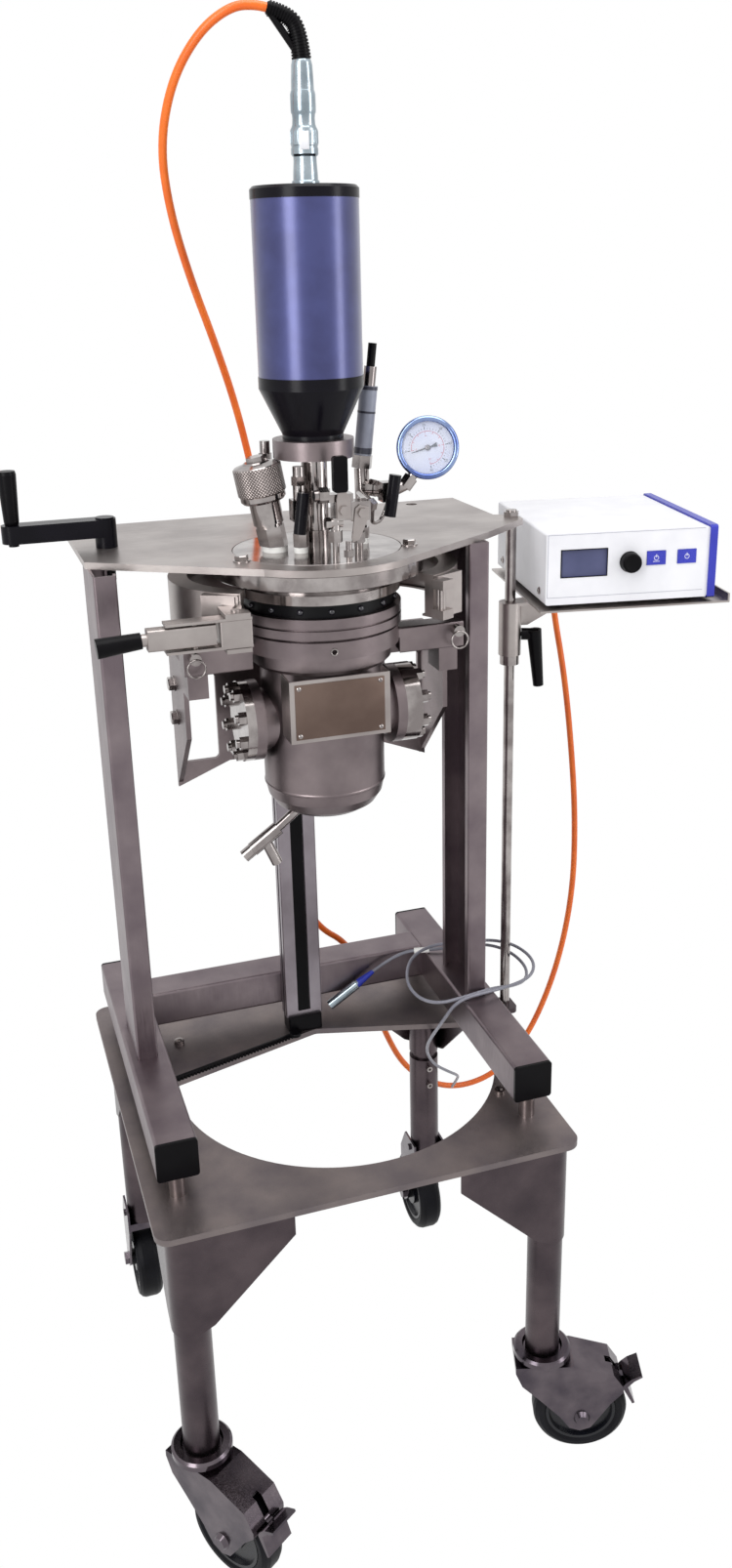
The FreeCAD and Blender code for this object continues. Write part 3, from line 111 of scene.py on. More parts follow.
SENSOR_CABLE_ROUTE = [
    (96, 122, 551), (135, 125, 573.5), (182, 108, 577), (228, 96, 579), (266, 104, 572),
    (298, 92, 560), (308, 56, 552), (292, 20, 552), (258, -4, 562), (222, -22, 577),
    (178, -32, 578), (142, -18, 566), (122, 12, 564), (120, 50, 572), (140, 84, 586),
    (182, 100, 590), (230, 90, 588), (268, 98, 582), (304, 88, 572), (316, 48, 566),
    (296, 8, 566), (256, -20, 574), (210, -40, 584), (164, -36, 578), (152, -10, 532),
    (152, 28, 488), (160, 72, 444), (176, 116, 398), (200, 150, 352), (234, 170, 318),
    (262, 204, 284), (276, 246, 246), (282, 282, 208)]


def srgb(code):
    """A hex sRGB colour as linear red, green, blue and alpha."""
    parts = [int(code[k:k + 2], 16) / 255 for k in (1, 3, 5)]
    return tuple(c / 12.92 if c <= 0.04045 else ((c + 0.055) / 1.055) ** 2.4 for c in parts) + (1.0,)


def tone(name, description, code):
    """A colour that a user may change, from its hex sRGB code."""
    return bpy.props.FloatVectorProperty(name=name, description=description, subtype="COLOR",
                                         size=4, min=0, max=1, default=srgb(code))


class ReactorColours(bpy.types.PropertyGroup):
    motor_dark: tone("Motor, darker", "Darker tone of the motor's anodised body", "#2a2e62")
    motor_light: tone("Motor, lighter", "Lighter tone of the motor's anodised body", "#363b72")
    cable_dark: tone("Motor cable, darker", "Darker tone of the motor cable's jacket", "#e8641a")
    cable_light: tone("Motor cable, lighter", "Lighter tone of the motor cable's jacket", "#f4741f")
    box_dark: tone("Box, darker", "Darker tone of the control box's powder coat", "#e3e3e8")
    box_light: tone("Box, lighter", "Lighter tone of the control box's powder coat", "#eaeaee")
    trim_dark: tone("Side frame, darker", "Darker tone of the control box's side frame", "#2a2fa2")
    trim_light: tone("Side frame, lighter", "Lighter tone of the control box's side frame", "#3138ae")


class ReactorSizes(bpy.types.PropertyGroup):
    motor_cable_diameter: bpy.props.FloatProperty(
        name="Motor cable", description="Outer diameter of the orange motor cable",
        default=0.0095, unit="LENGTH")
    motor_cable_length: bpy.props.FloatProperty(
        name="Motor cable length", description="Length from the bend sleeve to the control box",
        default=2.9, unit="LENGTH")
    sensor_cable_diameter: bpy.props.FloatProperty(
        name="Sensor cable", description="Outer diameter of the grey sensor cable",
        default=0.0045, unit="LENGTH")
    sensor_cable_length: bpy.props.FloatProperty(
        name="Sensor cable length", description="Length from the plug to the motor cable",
        default=1.476, unit="LENGTH")


def add_node(material, kind, settings=None, inputs=None):
    """Adds a node; inputs maps a socket to a value or to another node's output."""
    made = material.node_tree.nodes.new(kind)
    for name, value in (settings or {}).items():
        setattr(made, name, value)
    for socket, value in (inputs or {}).items():
        if isinstance(value, bpy.types.NodeSocket):
            material.node_tree.links.new(value, made.inputs[socket])
        else:
            made.inputs[socket].default_value = value
    return made


FINISHES = {}
# Noise seldom leaves these two ranges; the narrower one gives clouds with clearer edges.
GRAIN_RANGE, CLOUD_RANGE = (0.3, 0.7), (0.35, 0.65)


def finish_named(name):
    """A new material with its shader, kept under its name."""
    material = bpy.data.materials.new(name)
    material.use_nodes = True
    FINISHES[name] = material
    return material, material.node_tree.nodes["Principled BSDF"]


def linear(colour):
    """A colour property's own value, or a hex code turned to linear."""
    return srgb(colour) if isinstance(colour, str) else tuple(colour)


def clouded(material, shader, cloud, dark, light):
    """Blends the surface's two colours by a slow noise."""
    factor = add_node(material, "ShaderNodeMapRange", None,
                      {"Value": cloud, "From Min": CLOUD_RANGE[0], "From Max": CLOUD_RANGE[1]})
    blend = add_node(material, "ShaderNodeMix", {"data_type": "RGBA"},
                     {"Factor": factor.outputs[0], "A": linear(dark), "B": linear(light)})
    material.node_tree.links.new(blend.outputs["Result"], shader.inputs["Base Color"])


def grain(material, size_mm, detail, stretch=(1, 1, 1)):
    """Noise whose grains are about size_mm across, stretched along an axis where asked."""
    coords = add_node(material, "ShaderNodeTexCoord").outputs["Object"]
    mapped = add_node(material, "ShaderNodeMapping", None, {"Vector": coords, "Scale": stretch})
    noise = add_node(material, "ShaderNodeTexNoise", None,
                     {"Vector": mapped.outputs[0], "Scale": 1000.0 / size_mm, "Detail": detail})
    return noise.outputs["Fac"]


def rough_range(material, shader, value, smooth, rough):
    """Lets the roughness wander between two values."""
    mapped = add_node(material, "ShaderNodeMapRange", None,
                      {"Value": value, "From Min": GRAIN_RANGE[0], "From Max": GRAIN_RANGE[1],
                       "To Min": smooth, "To Max": rough})
    material.node_tree.links.new(mapped.outputs[0], shader.inputs["Roughness"])


def raised(material, shader, value, height_mm):
    """Raises the surface by a value, up to height_mm."""
    bump = add_node(material, "ShaderNodeBump", None, {"Height": value, "Distance": mm(height_mm)})
    material.node_tree.links.new(bump.outputs[0], shader.inputs["Normal"])


def metal_finish(name, dark, light, smooth, rough, grain_mm, stretch=(1, 1, 1), height_mm=0.05,
                 cloud_mm=70):
    """Bare metal: slow clouding, and a fine grain that breaks the reflections."""
    material, shader = finish_named(name)
    shader.inputs["Metallic"].default_value = 1.0
    clouded(material, shader, grain(material, cloud_mm, 4.0), dark, light)
    fine = grain(material, grain_mm, 2.0, stretch)
    rough_range(material, shader, fine, smooth, rough)
    raised(material, shader, fine, height_mm)
    return material, shader


def dull_finish(name, dark, light, smooth, rough, grain_mm, height_mm, specular=0.5, metallic=0.0):
    """Painted, anodised or moulded surface: faint clouding and a fine skin texture."""
    material, shader = finish_named(name)
    shader.inputs["Metallic"].default_value = metallic
    shader.inputs["Specular IOR Level"].default_value = specular
    clouded(material, shader, grain(material, 40, 3.0), dark, light)
    fine = grain(material, grain_mm, 2.0)
    rough_range(material, shader, fine, smooth, rough)
    raised(material, shader, fine, height_mm)
    return material, shader


def knurled_finish():
    """Diamond-knurled stainless: two crossed families of ridges, with painted shade darkening the grooves
    between them.
    """
    material, shader = metal_finish("knurled_stainless", "#8d8381", "#a79d9a", 0.26, 0.38, 1.5)
    coords = add_node(material, "ShaderNodeTexCoord").outputs["Object"]
    lean = (0, math.atan2(CAP_AXIS.x, CAP_AXIS.z), 0)
    upright_cap = add_node(material, "ShaderNodeMapping", {"vector_type": "TEXTURE"},
                           {"Vector": coords, "Location": CAP_FOOT, "Rotation": lean})
    split = add_node(material, "ShaderNodeSeparateXYZ", None, {0: upright_cap.outputs[0]})
    angle = add_node(material, "ShaderNodeMath", {"operation": "ARCTAN2"},
                     {0: split.outputs["Y"], 1: split.outputs["X"]})
    waves = []
    for slope in (1, -1):
        lift = add_node(material, "ShaderNodeMath", {"operation": "MULTIPLY"},
                        {0: split.outputs["Z"], 1: slope * math.pi / mm(KNURL_PITCH)})
        phase = add_node(material, "ShaderNodeMath", {"operation": "MULTIPLY_ADD"},
                         {0: angle.outputs[0], 1: KNURL_WAVES, 2: lift.outputs[0]})
        wave = add_node(material, "ShaderNodeMath", {"operation": "SINE"}, {0: phase.outputs[0]})
        ridge = add_node(material, "ShaderNodeMath", {"operation": "ABSOLUTE"}, {0: wave.outputs[0]})
        waves.append(ridge.outputs[0])
    crossed = add_node(material, "ShaderNodeMath", {"operation": "MINIMUM"}, {0: waves[0], 1: waves[1]})
    raised(material, shader, crossed.outputs[0], KNURL_HEIGHT)
    # Painted shade: the grooves are coloured dark and the ridges light.
    painted_groove_shade = add_node(material, "ShaderNodeMix", {"data_type": "RGBA"},
                      {"Factor": crossed.outputs[0], "A": srgb("#3b3535"), "B": srgb("#bdb3b0")})
    material.node_tree.links.new(painted_groove_shade.outputs["Result"], shader.inputs["Base Color"])


def make_finishes(colours):
    # Bead-blasted stainless steel: even and satin, with a soft pinkish grey cast.
    metal_finish("bead_blasted_stainless", "#6f6567", "#867b7c", 0.30, 0.42, 1.2)
    # Ground and brushed stainless sheet: fine lines along the sheet.
    metal_finish("brushed_stainless_sheet", "#958d8b", "#ada6a3", 0.28, 0.42, 2.0, (0.06, 3.0, 1.0))
    # Laser-cut stainless plate of the trolley, tumbled: darker and cloudier.
    metal_finish("tumbled_stainless_plate", "#70686a", "#877d7b", 0.36, 0.50, 1.5)
    # Blasted stainless of the legs and skirts, turned down to the floor: the plate's stainless painted
    # dark and even, as painted shade of the dark floor it reflects.
    metal_finish("stainless_leg_painted_shade", "#463e42", "#5a5053", 0.26, 0.38, 1.2, height_mm=0.01)
    # Square and round stainless tube, ground lengthways.
    metal_finish("ground_stainless_tube", "#70656a", "#857a7d", 0.32, 0.46, 1.5, (1, 1, 0.05))
    # Turned and polished stainless steel: bright, with streaks of tool marks in its grain, and darker
    # clouds in its colour that are painted reflection.
    metal_finish("turned_stainless", "#857e7d", "#aca6a4", 0.09, 0.18, 1.0, (1, 1, 6), 0.004, 30)
    # Chromed pressed steel of the casters: dark and glossy, low over the floor.
    metal_finish("chromed_pressed_steel", "#4b454c", "#675f64", 0.16, 0.24, 3.0, height_mm=0.002,
                 cloud_mm=40)
    # Nickel-plated connector: bluish bright plating.
    metal_finish("nickel_plated_brass", "#89959d", "#abb6bd", 0.16, 0.28, 1.0, (1, 1, 4), 0.01, 30)
    # Extruded natural aluminium of the lift column.
    metal_finish("extruded_aluminium", "#847c82", "#979096", 0.28, 0.40, 1.0, (4, 4, 0.05))
    # Hard black anodised aluminium: deep violet black with a satin sheen.
    dull_finish("black_anodised_aluminium", "#07060c", "#0c0a12", 0.20, 0.28, 0.8, 0.01, 0.14)
    # Blue-violet anodised aluminium: dyed oxide over turned metal.
    _, shader = dull_finish("violet_anodised_aluminium", colours.motor_dark, colours.motor_light,
                            0.30, 0.38, 0.8, 0.01, metallic=0.6)
    shader.inputs["Coat Weight"].default_value = 0.8
    shader.inputs["Coat Roughness"].default_value = 0.25
    # Moulded black polyamide: dull with a soft sheen.
    dull_finish("moulded_black_polyamide", "#040305", "#09080b", 0.28, 0.42, 0.7, 0.03, 0.1)
    # Powder-coated white sheet: smooth, with a slight orange peel.
    dull_finish("powder_coated_white_sheet", colours.box_dark, colours.box_light, 0.30, 0.40, 1.6, 0.02)
    # Moulded blue ABS of the box's side frame.
    dull_finish("moulded_blue_abs", colours.trim_dark, colours.trim_light, 0.28, 0.38, 0.9, 0.02)
    # Moulded blue silicone keys: smooth and satin.
    dull_finish("moulded_blue_key", "#2f35a8", "#353cb4", 0.24, 0.34, 0.9, 0.01)
    # Moulded tyre rubber: matt, nearly black.
    dull_finish("moulded_tyre_rubber", "#0a0a0e", "#131318", 0.40, 0.56, 0.9, 0.03, 0.12)
    # Grey-black polyamide of the wheel hubs.
    dull_finish("moulded_wheel_hub", "#0b0c12", "#14151c", 0.22, 0.32, 0.9, 0.02, 0.3)
    # Orange polyurethane jacket: satin, with a slightly uneven skin.
    dull_finish("orange_polyurethane_jacket", colours.cable_dark, colours.cable_light,
                0.30, 0.42, 1.4, 0.05)
    # Grey PVC jacket of the thin sensor lead.
    dull_finish("grey_pvc_jacket", "#74747f", "#84848f", 0.30, 0.42, 1.2, 0.03)
    # Machined PTFE: waxy white.
    dull_finish("machined_ptfe", "#e9e9e6", "#f4f4f1", 0.34, 0.46, 1.0, 0.02)
    # Display behind its window: dull blue-grey, with a sharp gloss.
    dull_finish("smoked_display_glass", "#474b6b", "#525678", 0.08, 0.12, 2.0, 0.0, 0.3)
    # Blue silicone boot of the sensor plug.
    dull_finish("moulded_blue_boot", "#1a2a9c", "#2233ad", 0.28, 0.40, 0.9, 0.02)
    # Gauge face: matt white enamel, in the cold shade of its window.
    dull_finish("white_enamel_dial", "#cfd2e4", "#d9dbe8", 0.45, 0.55, 1.0, 0.0)
    # Inks of the scales and the signs: thin and matt.
    dull_finish("black_printing_ink", "#15151a", "#1c1c22", 0.5, 0.6, 1.0, 0.0)
    dull_finish("red_printing_ink", "#b8404e", "#c24c58", 0.5, 0.6, 1.0, 0.0)
    dull_finish("white_printing_ink", "#e8e8f2", "#f2f2f8", 0.5, 0.6, 1.0, 0.0)
    # Chromed bezel: mirror-bright, with the cold blue of its plating.
    metal_finish("blue_tinted_chrome", "#4c5c96", "#9fb3d8", 0.08, 0.16, 2.0, height_mm=0.01)
    # Cast acrylic window: clear, with a sharp gloss; the faint pale blue veil over it is painted
    # reflection.
    _, shader = dull_finish("clear_acrylic_window", "#dfe8f8", "#e8f0fc", 0.02, 0.05, 2.0, 0.0)
    shader.inputs["Alpha"].default_value = 0.12
    knurled_finish()
    # Etched stainless nameplate left bare: brownish grey and matt.
    metal_finish("etched_bare_plate", "#62524b", "#73625a", 0.34, 0.46, 0.8)
    # Bare self-adhesive label on the sensor: satin blue-grey film.
    dull_finish("satin_label_film", "#8d91a2", "#a3a7b6", 0.30, 0.40, 1.0, 0.01)
    # Dark heat-shrink sleeve of the sensor: thin, slightly glossy polyolefin.
    dull_finish("heat_shrink_sleeve", "#3c3d48", "#4b4c58", 0.26, 0.36, 1.0, 0.01, 0.3)
    # Painted seam in the shade between the box's sheets.
    dull_finish("shaded_sheet_seam", "#a9a9b4", "#b4b4be", 0.45, 0.55, 1.0, 0.0)
    # Steel of the domed seal screws, dark and glossy: painted shade of the gap under the lid they sit in.
    dull_finish("seal_screw_steel_painted_shade", "#16151d", "#24222d", 0.10, 0.16, 1.0, 0.0, 0.8)
    # Near-black paint on the seal ring in the shadow of the lid: painted shade of the dark gap between the
    # lid and the vessel's flange.
    dull_finish("seal_ring_painted_gap_shade", "#060608", "#0c0c10", 0.30, 0.42, 1.0, 0.02, 0.15)


# The nodes that have each finish all over.
NODE_FINISH = {
    "tumbled_stainless_plate": ["trolley_plate"],
    # The legs take the stainless painted darker, as painted shade.
    "stainless_leg_painted_shade": ["trolley_legs"],
    "chromed_pressed_steel": ["caster_head_left", "caster_head_right", "brake_pedal_left",
        "brake_pedal_right", "rear_caster_forks"],
    "moulded_tyre_rubber": ["front_wheel_left", "front_wheel_right", "rear_wheel_left",
        "rear_wheel_right"],
    "ground_stainless_tube": ["base_rails", "uprights"],
    "moulded_black_polyamide": ["plastic_trim", "crank_grip", "ball_valve_lever", "shelf_clamp_lever",
        "knob"],
    "turned_stainless": ["frame_fasteners", "reactor_lid", "side_port_covers", "carriage_bolts",
        "drain_valve", "drain_handle", "clamp_pivot", "pull_pin_left", "pull_pin_right",
        "drive_lantern", "stirrer", "lid_fittings", "port_cap", "pressure_sensor", "gauge_case",
        "support_rod", "shelf_stop_ring"],
    "extruded_aluminium": ["lift_column"],
    "brushed_stainless_sheet": ["top_plate", "nameplate", "clamp_half_left", "clamp_half_right",
        "clamp_latch", "clamp_lever", "rear_ball_lever", "shelf_tray"],
    "machined_ptfe": ["seals"],
    "bead_blasted_stainless": ["vessel_body", "lift_carriage"],
    "black_anodised_aluminium": ["motor_caps", "crank_arm", "needle_valve_handle",
        "gauge_valve_handle"],
    "violet_anodised_aluminium": ["motor_body"],
    "nickel_plated_brass": ["motor_connector", "sensor_plug"],
    "black_printing_ink": ["gauge_pointer"],
    "powder_coated_white_sheet": ["control_box"],
    "moulded_blue_key": ["button_left", "button_right"],
}


def far_out(point, reach):
    """True for a point farther than reach, in millimetres, from the reactor's axis."""
    return (point.xy - AXIS.xy).length > mm(reach)


def cap_band(point):
    """True on the knurled side of the large port cap."""
    along = (point - CAP_FOOT).dot(CAP_AXIS)
    away = (point - CAP_FOOT - CAP_AXIS * along).length
    return mm(KNURL_LOW) < along < mm(KNURL_HIGH) and away > mm(KNURL_RADIUS)


def turned(x, y, angle):
    """A flat point or direction, turned about the vertical."""
    return x * math.cos(angle) - y * math.sin(angle), x * math.sin(angle) + y * math.cos(angle)


def box_front(u, v, z):
    """A point given in the control box's own frame, in millimetres."""
    x, y = turned(u, v, BOX_TURN)
    return at(BOX_CORNER[0] + x, BOX_CORNER[1] + y, z)


def box_uv(point):
    """A point in metres as millimetres along and behind the control box's front."""
    x = (point.x - AXIS.x) * 1000 - BOX_CORNER[0]
    y = (point.y - AXIS.y) * 1000 - BOX_CORNER[1]
    return turned(x, y, -BOX_TURN)


def on_display(point):
    """True on the display window of the control box."""
    u, v = box_uv(point)
    return DISPLAY_LEFT < u < DISPLAY_RIGHT and 0.5 < v < 3.5


def above(z):
    return lambda point: point.z > mm(z)


def below(z):
    return lambda point: point.z < mm(z)


def right_of(x):
    return lambda point: point.x > at(x, 0, 0).x


def boot_of_plug(point):
    """True on the boot behind the sensor plug's body."""
    return at(70, 0, 0).x < point.x < at(97, 0, 0).x and point.z < mm(553)


# Parts of solids with a finish of their own: the node, the finish and where it lies.
PAINTED = [
    # The skirts under the plate take the same painted shade as the legs.
    ("trolley_plate", "stainless_leg_painted_shade", below(482)),
    ("control_box", "moulded_blue_abs", lambda point: box_uv(point)[0] > 216.2),
    ("control_box", "smoked_display_glass", on_display),
    ("control_box", "moulded_black_polyamide", below(1098)),
    ("motor_connector", "moulded_black_polyamide", above(1719.5)),
    ("pressure_sensor", "satin_label_film", lambda point: mm(1301) < point.z < mm(1379)),
    ("pressure_sensor", "moulded_black_polyamide", above(1403)),
    ("ball_valve_lever", "brushed_stainless_sheet", below(1279)),
    ("clamp_lever", "moulded_black_polyamide", lambda point: point.x < at(-229.9, 0, 0).x),
    # The seal ring below 1160 mm is painted near-black as the shade of the gap under the lid.
    ("seals", "seal_ring_painted_gap_shade", below(1160)),
    ("drive_lantern", "bead_blasted_stainless", lambda point: point.z > mm(1306) and far_out(point, 30)),
    ("port_cap", "knurled_stainless", cap_band),
    ("sensor_plug", "moulded_blue_boot", boot_of_plug),
    ("sensor_plug", "machined_ptfe", right_of(120)),
]
# Each wheel's axle, in degrees from the frame's x axis; the hub ends 46 mm from it.
AXLE_TURNS = {"front_wheel_left": 34, "front_wheel_right": 72, "rear_wheel_left": 0, "rear_wheel_right": 0}
HUB_RADIUS = 46


def give_finish(mesh, finish):
    """Gives a whole mesh one finish."""
    mesh.materials.clear()
    mesh.materials.append(FINISHES[finish])
    for face in mesh.polygons:
        face.material_index = 0


def paint_part(node, finish, chooser):
    """Gives the faces of one CAD node that the chooser picks a finish of their own."""
    mesh = NODES[node].data
    mesh.materials.append(FINISHES[finish])
    index = len(mesh.materials) - 1
    for face in mesh.polygons:
        if chooser(face.center):
            face.material_index = index


def near_axle(centre, along, limit):
    """Picks the points nearer to a wheel's axle than a limit in millimetres."""
    def chooser(point):
        reach = point - centre
        return (reach - along * reach.dot(along)).length < mm(limit)
    return chooser


class REACTOR_OT_finishes(bpy.types.Operator):
    """Gives every solid its finish, with painted shade and painted reflection on some"""
    bl_idname = "reactor.finishes"
    bl_label = "Finishes"

    def execute(self, context):
        make_finishes(context.scene.reactor_colours)
        for finish, names in NODE_FINISH.items():
            for name in names:
                give_finish(NODES[name].data, finish)
        for name, degrees in AXLE_TURNS.items():
            low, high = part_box(name)
            turn = math.radians(degrees)
            along = Vector((math.cos(turn), math.sin(turn), 0))
            paint_part(name, "moulded_wheel_hub", near_axle((low + high) / 2, along, HUB_RADIUS))
        for node, finish, chooser in PAINTED:
            paint_part(node, finish, chooser)
        return {"FINISHED"}


def spline_object(name, route):
    """A curve object with one open smooth spline through a route."""
    curve = bpy.data.curves.new(name, "CURVE")
    curve.dimensions = "3D"
    spline = curve.splines.new("NURBS")
    spline.points.add(len(route) - 1)
    for point, place in zip(spline.points, route):
        point.co = (*at(*place), 1.0)
    spline.order_u = 3
    spline.use_endpoint_u = True
    piece = bpy.data.objects.new(name, curve)
    bpy.context.scene.collection.objects.link(piece)
    return piece


def smooth_line(name, route, diameter, finish):
    """A cord along its route."""
    piece = spline_object(name, route)
    curve = piece.data
    curve.bevel_depth = diameter / 2
    curve.bevel_resolution = 5
    curve.use_fill_caps = True
    curve.resolution_u = 10
    curve.materials.append(FINISHES[finish])
    return piece


class REACTOR_OT_cords(bpy.types.Operator):
    """Lays the orange motor cable and the grey sensor cable"""
    bl_idname = "reactor.cords"
    bl_label = "Cords"

    def execute(self, context):
        sizes = context.scene.reactor_sizes
        cable = smooth_line("orange_motor_cable", MOTOR_CABLE_ROUTE, sizes.motor_cable_diameter,
                            "orange_polyurethane_jacket")
        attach(cable, "frame")
        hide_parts("motor_cable")
        lead = smooth_line("grey_sensor_cable", SENSOR_CABLE_ROUTE, sizes.sensor_cable_diameter,
                           "grey_pvc_jacket")
        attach(lead, "frame")
        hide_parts("sensor_cable")
        return {"FINISHED"}


# Edges that turn by more than this many degrees stay sharp.
SMOOTH_LIMIT = 35


def only(piece):
    """Selects one object and nothing else."""
    bpy.ops.object.select_all(action="DESELECT")
    piece.select_set(True)
    bpy.context.view_layer.objects.active = piece


def facing(place, out, up=(0, 0, 1)):
    """A frame at a place, its z axis pointing out and its y axis as near to up as it can be."""
    out = Vector(out).normalized()
    across = Vector(up).cross(out).normalized()
    rise = out.cross(across)
    return Matrix.Translation(place) @ Matrix((across, rise, out)).transposed().to_4x4()


def lathe(name, profile, steps, sharp=SMOOTH_LIMIT):
    """Turns a profile of radii and heights in millimetres about the z axis; six steps give a hexagon."""
    bpy.ops.object.select_all(action="DESELECT")
    bpy.ops.mesh.primitive_plane_add(size=mm(1), location=(0, 0, 0))
    piece = bpy.context.object
    piece.name = name
    bpy.ops.object.mode_set(mode="EDIT")
    bpy.ops.mesh.merge(type="CENTER")
    bpy.ops.transform.translate(value=(mm(profile[0][0]), 0, mm(profile[0][1])))
    for before, after in zip(profile, profile[1:]):
        step = (mm(after[0] - before[0]), 0, mm(after[1] - before[1]))
        bpy.ops.mesh.extrude_region_move(TRANSFORM_OT_translate={"value": step})
    bpy.ops.mesh.select_all(action="SELECT")
    bpy.ops.mesh.remove_doubles(threshold=1e-6)
    bpy.ops.mesh.spin(steps=steps, angle=2 * math.pi, center=(0, 0, 0), axis=(0, 0, 1))
    bpy.ops.mesh.select_all(action="SELECT")
    bpy.ops.mesh.remove_doubles(threshold=1e-6)
    bpy.ops.mesh.normals_make_consistent(inside=False)
    bpy.ops.object.mode_set(mode="OBJECT")
    bpy.ops.object.shade_smooth_by_angle(angle=math.radians(sharp))
    return piece


def slab(name, size, place, bevel):
    """A block with worked edges; its sizes, place and bevel in millimetres, in the piece's own frame."""
    bpy.ops.object.select_all(action="DESELECT")
    bpy.ops.mesh.primitive_cube_add(size=1, location=[mm(c) for c in place], scale=[mm(c) for c in size])
    piece = bpy.context.object
    piece.name = name
    bpy.ops.object.transform_apply(location=True, rotation=True, scale=True)
    if bevel:
        bpy.ops.object.mode_set(mode="EDIT")
        bpy.ops.mesh.select_all(action="SELECT")
        bpy.ops.mesh.bevel(offset=mm(bevel), segments=2, affect="EDGES")
        bpy.ops.object.mode_set(mode="OBJECT")
        bpy.ops.object.shade_smooth_by_angle(angle=math.radians(SMOOTH_LIMIT))
    return piece


def subdivided(piece, cuts):
    """Cuts the edges of a piece, so that its points can be moved one by one."""
    only(piece)
    bpy.ops.object.mode_set(mode="EDIT")
    bpy.ops.mesh.select_all(action="SELECT")
    bpy.ops.mesh.subdivide(number_cuts=cuts)
    bpy.ops.object.mode_set(mode="OBJECT")
    return piece.data.vertices


def joined(pieces):
    """Joins pieces into the first one."""
    bpy.context.view_layer.update()
    bpy.ops.object.select_all(action="DESELECT")
    for piece in pieces:
        piece.select_set(True)
    bpy.context.view_layer.objects.active = pieces[0]
    if len(pieces) > 1:
        bpy.ops.object.join()
    bpy.ops.object.transform_apply(location=True, rotation=True, scale=True)
    return pieces[0]


def scatter(piece, frames):
    """Copies a piece to several frames, each copy with its own mesh, and joins the copies."""
    copies = []
    for place in frames:
        copy = piece.copy()
        copy.data = piece.data.copy()
        bpy.context.scene.collection.objects.link(copy)
        copy.matrix_basis = place
        copies.append(copy)
    name = piece.name
    bpy.data.objects.remove(piece)
    whole = joined(copies)
    whole.name = name
    return whole


def printed(text, size, place):
    """A plain number as a thin layer of ink; size and place in millimetres."""
    bpy.ops.object.select_all(action="DESELECT")
    bpy.ops.object.text_add(location=(0, 0, 0))
    words = bpy.context.object
    words.data.body = text
    words.data.size = mm(size)
    words.data.align_x = "CENTER"
    words.data.align_y = "CENTER"
    words.data.extrude = mm(INK_DEPTH / 2)
    bpy.ops.object.convert(target="MESH")
    words.location = [mm(c) for c in place]
    return words


def settle(piece, place, finish, body, slot, *stands_for):
    """Puts a finished piece in its place in its own mesh and hangs it on its body."""
    only(piece)
    piece.matrix_basis = place
    bpy.ops.object.transform_apply(location=True, rotation=True, scale=True)
    give_finish(piece.data, finish)
    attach(piece, body)
    if stands_for:
        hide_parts(*stands_for)
    return piece


def bent_along(piece, route):
    """Bends a piece that stands on the z axis along a smooth line through a route."""
    rail = spline_object("bend_guide", route)
    rail.data.splines[0].resolution_u = 24
    only(piece)
    bend = piece.modifiers.new("bend", "CURVE")
    bend.object = rail
    bend.deform_axis = "POS_Z"
    bpy.ops.object.modifier_apply(modifier="bend")
    bpy.data.objects.remove(rail)


HERE = Matrix.Identity(4)
# The foot of the gauge's dial, which faces left, out and a little up.
GAUGE = facing(at(140, 0, 1309), (-0.34, -0.92, 0.18))


def dial_mark(name, length, width, radius, angle):
    """A stroke of ink on the dial, with its middle at a radius in millimetres and an angle in degrees."""
    mark = slab(name, (length, width, INK_DEPTH), (radius, 0, INK_HEIGHT), 0)
    mark.matrix_basis = Matrix.Rotation(math.radians(angle), 4, "Z")
    return mark


def dial_number(number, size, radius, angle):
    turn = math.radians(angle)
    return printed(str(number), size, (radius * math.cos(turn), radius * math.sin(turn), INK_HEIGHT))


